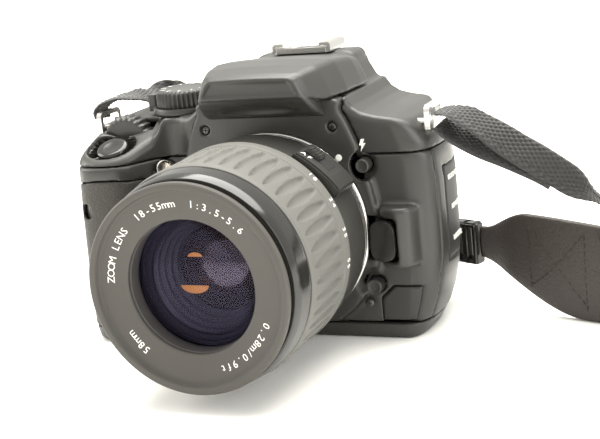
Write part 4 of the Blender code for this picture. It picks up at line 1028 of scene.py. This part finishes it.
pad_way = np.gradient(pad_line, axis=0)
pad_way /= np.linalg.norm(pad_way, axis=1)[:, None]
pad_out = np.stack([pad_way[:, 1], -pad_way[:, 0], np.zeros(len(pad_way))], 1)
pad_low = 14.8 * (1 - eased(pad_far / (0.5 * free_long)))
pad_high = 25.8 + 8.0 * eased(pad_far / (0.26 * free_long)) - 2.6 * eased((pad_far / free_long - 0.3) / 0.5)


def pad_spot(n, share, out):
    """A place on the pad: n along it, share of its height, out mm from its middle."""
    return pad_line[n] + pad_out[n] * out + np.array((0, 0, pad_low[n] + (pad_high[n] - pad_low[n]) * share))


section = []
for n in range(25):
    turn = math.pi * n / 24
    section.append(((1 - math.cos(turn)) / 2, 2.0 * math.sin(turn) ** 0.4))
section += [(s, -o) for s, o in reversed(section[1:-1])]
pad_verts, pad_faces = [], []
count = len(section)
for n in range(len(pad_line)):
    full = 0.82 + 0.18 * eased(pad_far[n] / 20)
    pad_verts += [at(*pad_spot(n, share, out * full)) for share, out in section]
for n in range((len(pad_line) - 1) * count):
    row, k = divmod(n, count)
    ahead = (k + 1) % count
    pad_faces.append((n, n + count, (row + 1) * count + ahead, row * count + ahead))
pad_faces += [tuple(range(count)), tuple(reversed(range((len(pad_line) - 1) * count, len(pad_line) * count)))]
pad_mesh = bpy.data.meshes.new("strap_pad_leather")
pad_mesh.from_pydata(pad_verts, [], pad_faces)
pad_mesh.shade_smooth()
pad = bpy.data.objects.new("strap_pad_leather", pad_mesh)
bpy.context.collection.objects.link(pad)
leather = grained_rubber("dark_pad_leather", (0.04, 0.034, 0.03), 0.45, 1100.0, 0.00012)
fit(pad, "strap_pad", "root", leather)
thread = moulded("brown_thread", (0.03, 0.022, 0.018), 0.5)
stitches, stitch_faces = [], []


def stitch_run(n0, share0, n1, share1):
    """Stitches in a straight run between two places on the pad's outer face."""
    start, stop = pad_spot(n0, share0, 2.0), pad_spot(n1, share1, 2.0)
    steps = int(np.linalg.norm(stop - start) / 2.4)
    for i in range(steps):
        ends = []
        for part in (i / steps, (i + 0.62) / steps):
            n = n0 + (n1 - n0) * part
            low = int(n)
            share = share0 + (share1 - share0) * part
            high = min(low + 1, len(pad_line) - 1)
            ends.append(pad_spot(low, share, 2.02) * (1 - n + low) + pad_spot(high, share, 2.02) * (n - low))
        way = (ends[1] - ends[0]) / np.linalg.norm(ends[1] - ends[0])
        out = pad_out[int(n0)]
        side = np.cross(way, out)
        base = len(stitches)
        for end in ends:
            for s, o in ((0.22, -0.1), (0.14, 0.16), (-0.14, 0.16), (-0.22, -0.1)):
                stitches.append(at(*(end + side * s + out * o)))
        for k in range(4):
            ahead = (k + 1) % 4
            stitch_faces.append((base + k, base + ahead, base + 4 + ahead, base + 4 + k))
        stitch_faces.extend([(base, base + 1, base + 2, base + 3), (base + 7, base + 6, base + 5, base + 4)])


def pad_at(distance):
    return int(np.searchsorted(pad_far, distance))


near_row, far_row = pad_at(25), pad_at(45)
for run in ((near_row, 0.12, near_row, 0.88), (far_row, 0.12, far_row, 0.92),
            (near_row, 0.86, far_row, 0.16), (near_row, 0.14, far_row, 0.9)):
    stitch_run(*run)
stitch_mesh = bpy.data.meshes.new("pad_stitches")
stitch_mesh.from_pydata(stitches, [], stitch_faces)
stitch_mesh.materials.append(thread)
sewn = bpy.data.objects.new("pad_stitches", stitch_mesh)
bpy.context.collection.objects.link(sewn)
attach(sewn, "root")
ridge_at = pad_at(52)
ridge_rows = [(ridge_at + int(6 * k / 12), 0.98 - 0.96 * k / 12) for k in range(13)]
ridge_verts = []
for n, share in ridge_rows:
    for m in range(5):
        turn = math.pi * m / 4
        lifted = pad_spot(n, share, 1.9 + 0.75 * math.sin(turn))
        ridge_verts.append(at(*(lifted + pad_way[n] * (1.1 * math.cos(turn)))))
ridge_faces = [(k * 5 + m, k * 5 + 5 + m, k * 5 + 6 + m, k * 5 + 1 + m) for k in range(12) for m in range(4)]
ridge_mesh = bpy.data.meshes.new("pad_seam_ridge")
ridge_mesh.from_pydata(ridge_verts, [], ridge_faces)
ridge_mesh.shade_smooth()
ridge_mesh.materials.append(leather)
ridge = bpy.data.objects.new("pad_seam_ridge", ridge_mesh)
bpy.context.collection.objects.link(ridge)
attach(ridge, "root")


# ------------------------------------------------------------ front buttons, lamp and screws
# Small moulded caps, sprung, in wells round the mount, and four blackened steel screws in the front cover.
# The lamp is a clear dome in a plated ring, pressed into the grip's inner side.
def node_middle(node):
    """A node's centre and half size, in millimetres from the lens axis, flange and base."""
    low, high = (np.array(c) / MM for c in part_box(node))
    return (low + high) / 2 - np.array(at(0, 0, 0)) / MM, (high - low) / 2


def moved_to(piece, x, z):
    """A shape turned about the lens axis goes to its own axis."""
    piece.data.transform(Matrix.Translation(at(x, 0, z) - at(0, 0, LENS_Z)))
    return piece


def capped(name, node, body, mat, facing, bowl=0.35):
    """A round push button in its node's place, its outer face (front -1, back 1) slightly dished."""
    (x, y, z), half = node_middle(node)
    r, out, inner = half[0], y + facing * half[1], y - facing * half[1]
    rows = [(0.0, out - facing * bowl), (r * 0.55, out - facing * bowl * 0.7), (r - 0.35, out),
            (r - 0.05, out - facing * 0.3), (r, out - facing * 0.8), (r, inner), (0.0, inner)]
    return fit(moved_to(turned(name, rows, 0.1, 48, closed=False), x, z), node, body, mat)


release = bar("release_button", oblong(33.6, 41.8, 28.2, 41.5, 3.2), "y", -3.0, 1.6, gloss_black, 0.9, 4)
fit(release, "lens_release_button", "lens_release")
capped("preview_cap", "preview_button", "preview_button", satin_black, -1)
capped("flash_button_cap", "flash_button", "flash_button", satin_black, -1)
bolt = [(31.2, 66.9), (32.3, 66.9), (31.7, 65.6), (32.6, 65.6), (30.9, 63.0), (31.3, 64.9), (30.5, 64.9)]
mark = bar("flash_mark", bolt, "y", 3.9, 4.45, paint, 0, 1)
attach(mark, "root")
lamp_clear = clear("lamp_dome", (0.75, 0.72, 0.68), (1, 1, 1), 0.6, 0.08)
lamp_line = [(0.0, 4.4), (1.6, 4.7), (2.5, 5.4), (2.8, 6.4), (2.8, 9), (0.0, 9)]
lamp = moved_to(turned("lamp_window", lamp_line, 0.2, 48, closed=False), *LAMP_AT)
lamp.data.materials.append(lamp_clear)
surround_line = [(2.85, 5.4), (3.2, 5.2), (3.25, 9.4), (0.1, 9.8), (0.1, 9.2), (2.85, 9.1)]
lamp_ring = moved_to(turned("lamp_surround", surround_line, 0.1, 48), *LAMP_AT)
lamp_ring.data.materials.append(chrome)
for piece in (lamp, lamp_ring):
    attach(piece, "root")
screw_steel = moulded("blackened_screw", (0.09, 0.088, 0.085), 0.35, 600.0, 0.000004, metallic=1.0)
# The screw slots are not cut: near-black crosses laid on the heads are painted shade for the slots.
hollow, slot_shade_shader = shader_of("painted_screw_slot_shade")
set_values(slot_shade_shader, base_color=(0.003, 0.003, 0.003), roughness=0.7)
screw_line = [(0.0, 2.2), (1.0, 2.25), (1.5, 2.6), (1.5, 3.0), (0.0, 3.0)]
for n, (x, z) in enumerate(TURRET_SCREWS):
    head = moved_to(turned(f"mount_screw_{n}", screw_line, 0.1, 32, closed=False), x, z)
    head.data.materials.append(screw_steel)
    pieces = [head]
    for name, a, b in (("slot", 0.85, 0.16), ("cross", 0.16, 0.85)):
        outline = oblong(x - a, x + a, z - b, z + b)
        pieces.append(bar(f"screw_{name}_{n}", outline, "y", 2.15, 2.5, hollow, 0, 1))
    for piece in pieces:
        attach(piece, "root")
dot_line = [(0.0, 1.68), (1.1, 1.7), (1.1, 2.0), (0.0, 2.0)]
index_dot = moved_to(turned("mount_index", dot_line, 0.05, 32, closed=False), 24.0, 61.5)
index_dot.data.materials.append(paint)
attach(index_dot, "root")


def barrel_words(name, words, middle, y, radius, size, gap, body):
    """Letters on the barrel's side, read from in front of it."""
    for n, sign in enumerate(words):
        if sign == " ":
            continue
        turn = math.radians(middle + (n - (len(words) - 1) / 2) * gap)
        out = Vector((math.sin(turn), 0, math.cos(turn)))
        across = Vector((math.cos(turn), 0, -math.sin(turn)))
        up = out.cross(across)
        place = (radius * math.sin(turn), y, LENS_Z + radius * math.cos(turn))
        letter(f"{name}_{n}", sign, size, place, across, up, body)


barrel_words("focus_words", "AF MF", 42, -17.8, 35.3, 2.0, 3.6, "lens")
barrel_words("zoom_marks", "18   24   35   55", 72, -24.6, 34.3, 2.0, 3.3, "zoom")
line_at = math.radians(58)
line_out = Vector((math.sin(line_at), 0, math.cos(line_at)))
line_way = Vector((math.cos(line_at), 0, -math.sin(line_at)))
spot = Vector((0, 0, LENS_Z)) + line_out * 33.1
corners = ((-0.25, -19.4), (0.25, -19.4), (0.25, -14), (-0.25, -14))
verts = [spot + line_way * a + Vector((0, y, 0)) + line_out * h for h in (-0.2, 0.08) for a, y in corners]
faces = [(0, 1, 2, 3), (7, 6, 5, 4), (0, 1, 5, 4), (1, 2, 6, 5), (2, 3, 7, 6), (3, 0, 4, 7)]
zoom_index = placed("zoom_index_line", [tuple(v) for v in verts], faces, paint, 0)
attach(zoom_index, "lens")


# ------------------------------------------------------------ doors
# The port cover is soft rubber and the card door hard plastic; both follow the body's sides.
# The battery door is a flat plate in the base, hinged at its back edge, with a sliding latch.
def side_piece(name, low, high, depth, ratio=0.6):
    return skin(name, np.maximum(both(whole, block(low, high, 0.9), 0.35), -(whole + depth)), ratio)


port_rubber = grained_rubber("port_rubber", (0.02, 0.0195, 0.019), 0.55, 1900.0, 0.00003)
port_piece = side_piece("port_cover_skin", (44, 15, 24), (70, 33, 55), 1.7)
fit(port_piece, "port_cover", "port_door", port_rubber)
card_piece = side_piece("card_door_skin", (-90, 26, 12), (-62, 38.5, 58), 1.7)
fit(card_piece, "card_door", "card_door", satin_black)
for n, (words, z) in enumerate((("VIDEO OUT", 50.0), ("REMOTE", 40.0), ("DIGITAL", 29.5))):
    letter(f"port_words_{n}", words, 1.7, (54.75, 23.6, z), (0, 1, 0), (0, 0, 1), "port_door",
           thick=0.5)
door = bar("battery_door_panel", oblong(-67.9, -48.3, -4.5, 30.7, 1.6), "z", 0.02, 2.1, satin_black, 0.3, 2)
fit(door, "battery_door", "battery_door")
for name, outline, mat in (("battery_latch", oblong(-61.5, -54.7, -3.2, 1.4, 0.8), gloss_black),
                           ("battery_latch_rib_0", oblong(-60.4, -55.8, -2.2, -1.7), satin_black),
                           ("battery_latch_rib_1", oblong(-60.4, -55.8, -0.4, 0.1), satin_black)):
    piece = bar(name, outline, "z", 0.0 if "rib" in name else 0.005, 0.6, mat, 0.02, 1)
    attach(piece, "battery_door")


# ------------------------------------------------------------ screen, eyecup and back buttons
# A hard glossy window glued over the screen, and a soft rubber eyecup pushed on round the eyepiece.
# The buttons are small dished plastic caps, with their words printed beside or on them.
screen_gloss, window_shader = shader_of("screen_window")
set_values(window_shader, base_color=(0.004, 0.0045, 0.005), roughness=0.06)
window = bar("screen_window", oblong(-19.5, 36, 10, 51, 2.5), "y", 48.0, 49.9, screen_gloss, 0.3, 3)
fit(window, "lcd_window", "root")
dark_screen, dark_shader = shader_of("switched_off_screen")
set_values(dark_shader, base_color=(0.022, 0.025, 0.03), roughness=0.18)
panel = bar("screen_panel", oblong(-17.2, 33.7, 12.0, 49.0, 0.6), "y", 49.7, 49.95, dark_screen, 0.04, 1)
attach(panel, "root")
soft_rubber = grained_rubber("eyecup_rubber", (0.016, 0.0155, 0.015), 0.66, 2400.0, 0.00003)
cup = both(front_shape(oblong(-17.5, 17.5, 68.5, 88.6, 4.5), False), slab(GY, 52.7, 57.6), 1.7)
cup = without(cup, front_shape(oblong(-11, 11, 72.5, 85.5, 3), False) - 0.42 * np.clip(GY - 53.4, 0, 9), 0.9)
fit(skin("eyecup_ring", cup, 0.7), "eyecup", "root", soft_rubber)
rest = front_shape(oblong(-62, -47, 27, 57, 5), False)
rest = both(rest, slab(GY, 48.6, 51.5) + 0.004 * (GX + 54.5) ** 2, 1.3)
fit(skin("thumb_rest_pad", rest, 0.6), "thumb_rest", "root", grip_black)
for node in REAR_BUTTONS + ("exposure_lock_button", "focus_point_button"):
    capped(node + "_cap", node, node, satin_black, 1)
COLUMN_WORDS = {"menu_button": "MENU", "info_button": "INFO", "play_button": "PLAY", "erase_button": "ERASE"}
for node, words in COLUMN_WORDS.items():
    x, _, z = node_middle(node)[0]
    letter(node + "_words", words, 1.5, (x, 48.32, z + 3.6), (-1, 0, 0), (0, 0, 1), "root", thick=0.16)
PAD_WORDS = {"set_button": "SET", "up_button": "ISO", "down_button": "WB", "left_button": "AF",
             "right_button": "DRIVE"}
for node, words in PAD_WORDS.items():
    (x, y, z), half = node_middle(node)
    size = 1.6 if node == "set_button" else 1.2
    face = (x, y + half[1] - 0.22, z - size / 2)
    letter(node + "_words", words, size, face, (-1, 0, 0), (0, 0, 1), node, thick=0.3)


# ------------------------------------------------------------ metal and glass left as made
# The strap lugs, socket, mirrors, shutter, sensor, battery and inner lenses, mostly out of sight.
# They already have their shape, and only need what they are made of.
dark_metal = moulded("dark_anodised", (0.05, 0.05, 0.052), 0.4, 700.0, 0.000006, metallic=0.9)
silver, silver_shader = shader_of("front_silvered")
set_values(silver_shader, base_color=(0.92, 0.92, 0.93), metallic=1.0, roughness=0.02)
sensor_green, sensor_shader = shader_of("filtered_sensor")
set_values(sensor_shader, base_color=(0.03, 0.09, 0.07), roughness=0.08)
battery_grey = moulded("battery_case", (0.14, 0.14, 0.15), 0.5)
frosted = clear("ground_screen", (0.85, 0.87, 0.88), (1, 1, 1), 0.5, 0.5)
for mat, nodes in ((chrome, ("strap_lug_left", "strap_lug_right", "tripod_bush")),
                   (dark_metal, ("mirror_box", "pentamirror", "shutter_frame")),
                   (silver, ("reflex_mirror", "sub_mirror")), (sensor_green, ("image_sensor",)),
                   (battery_grey, ("battery_pack",)), (frosted, ("focusing_screen", "flash_lens")),
                   (matt_black, ("shutter_curtain", "aperture_unit")),
                   (front_glass, ("rear_element", "eyepiece_lens"))):
    for node in nodes:
        for slot_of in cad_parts[node].material_slots:
            slot_of.material = mat
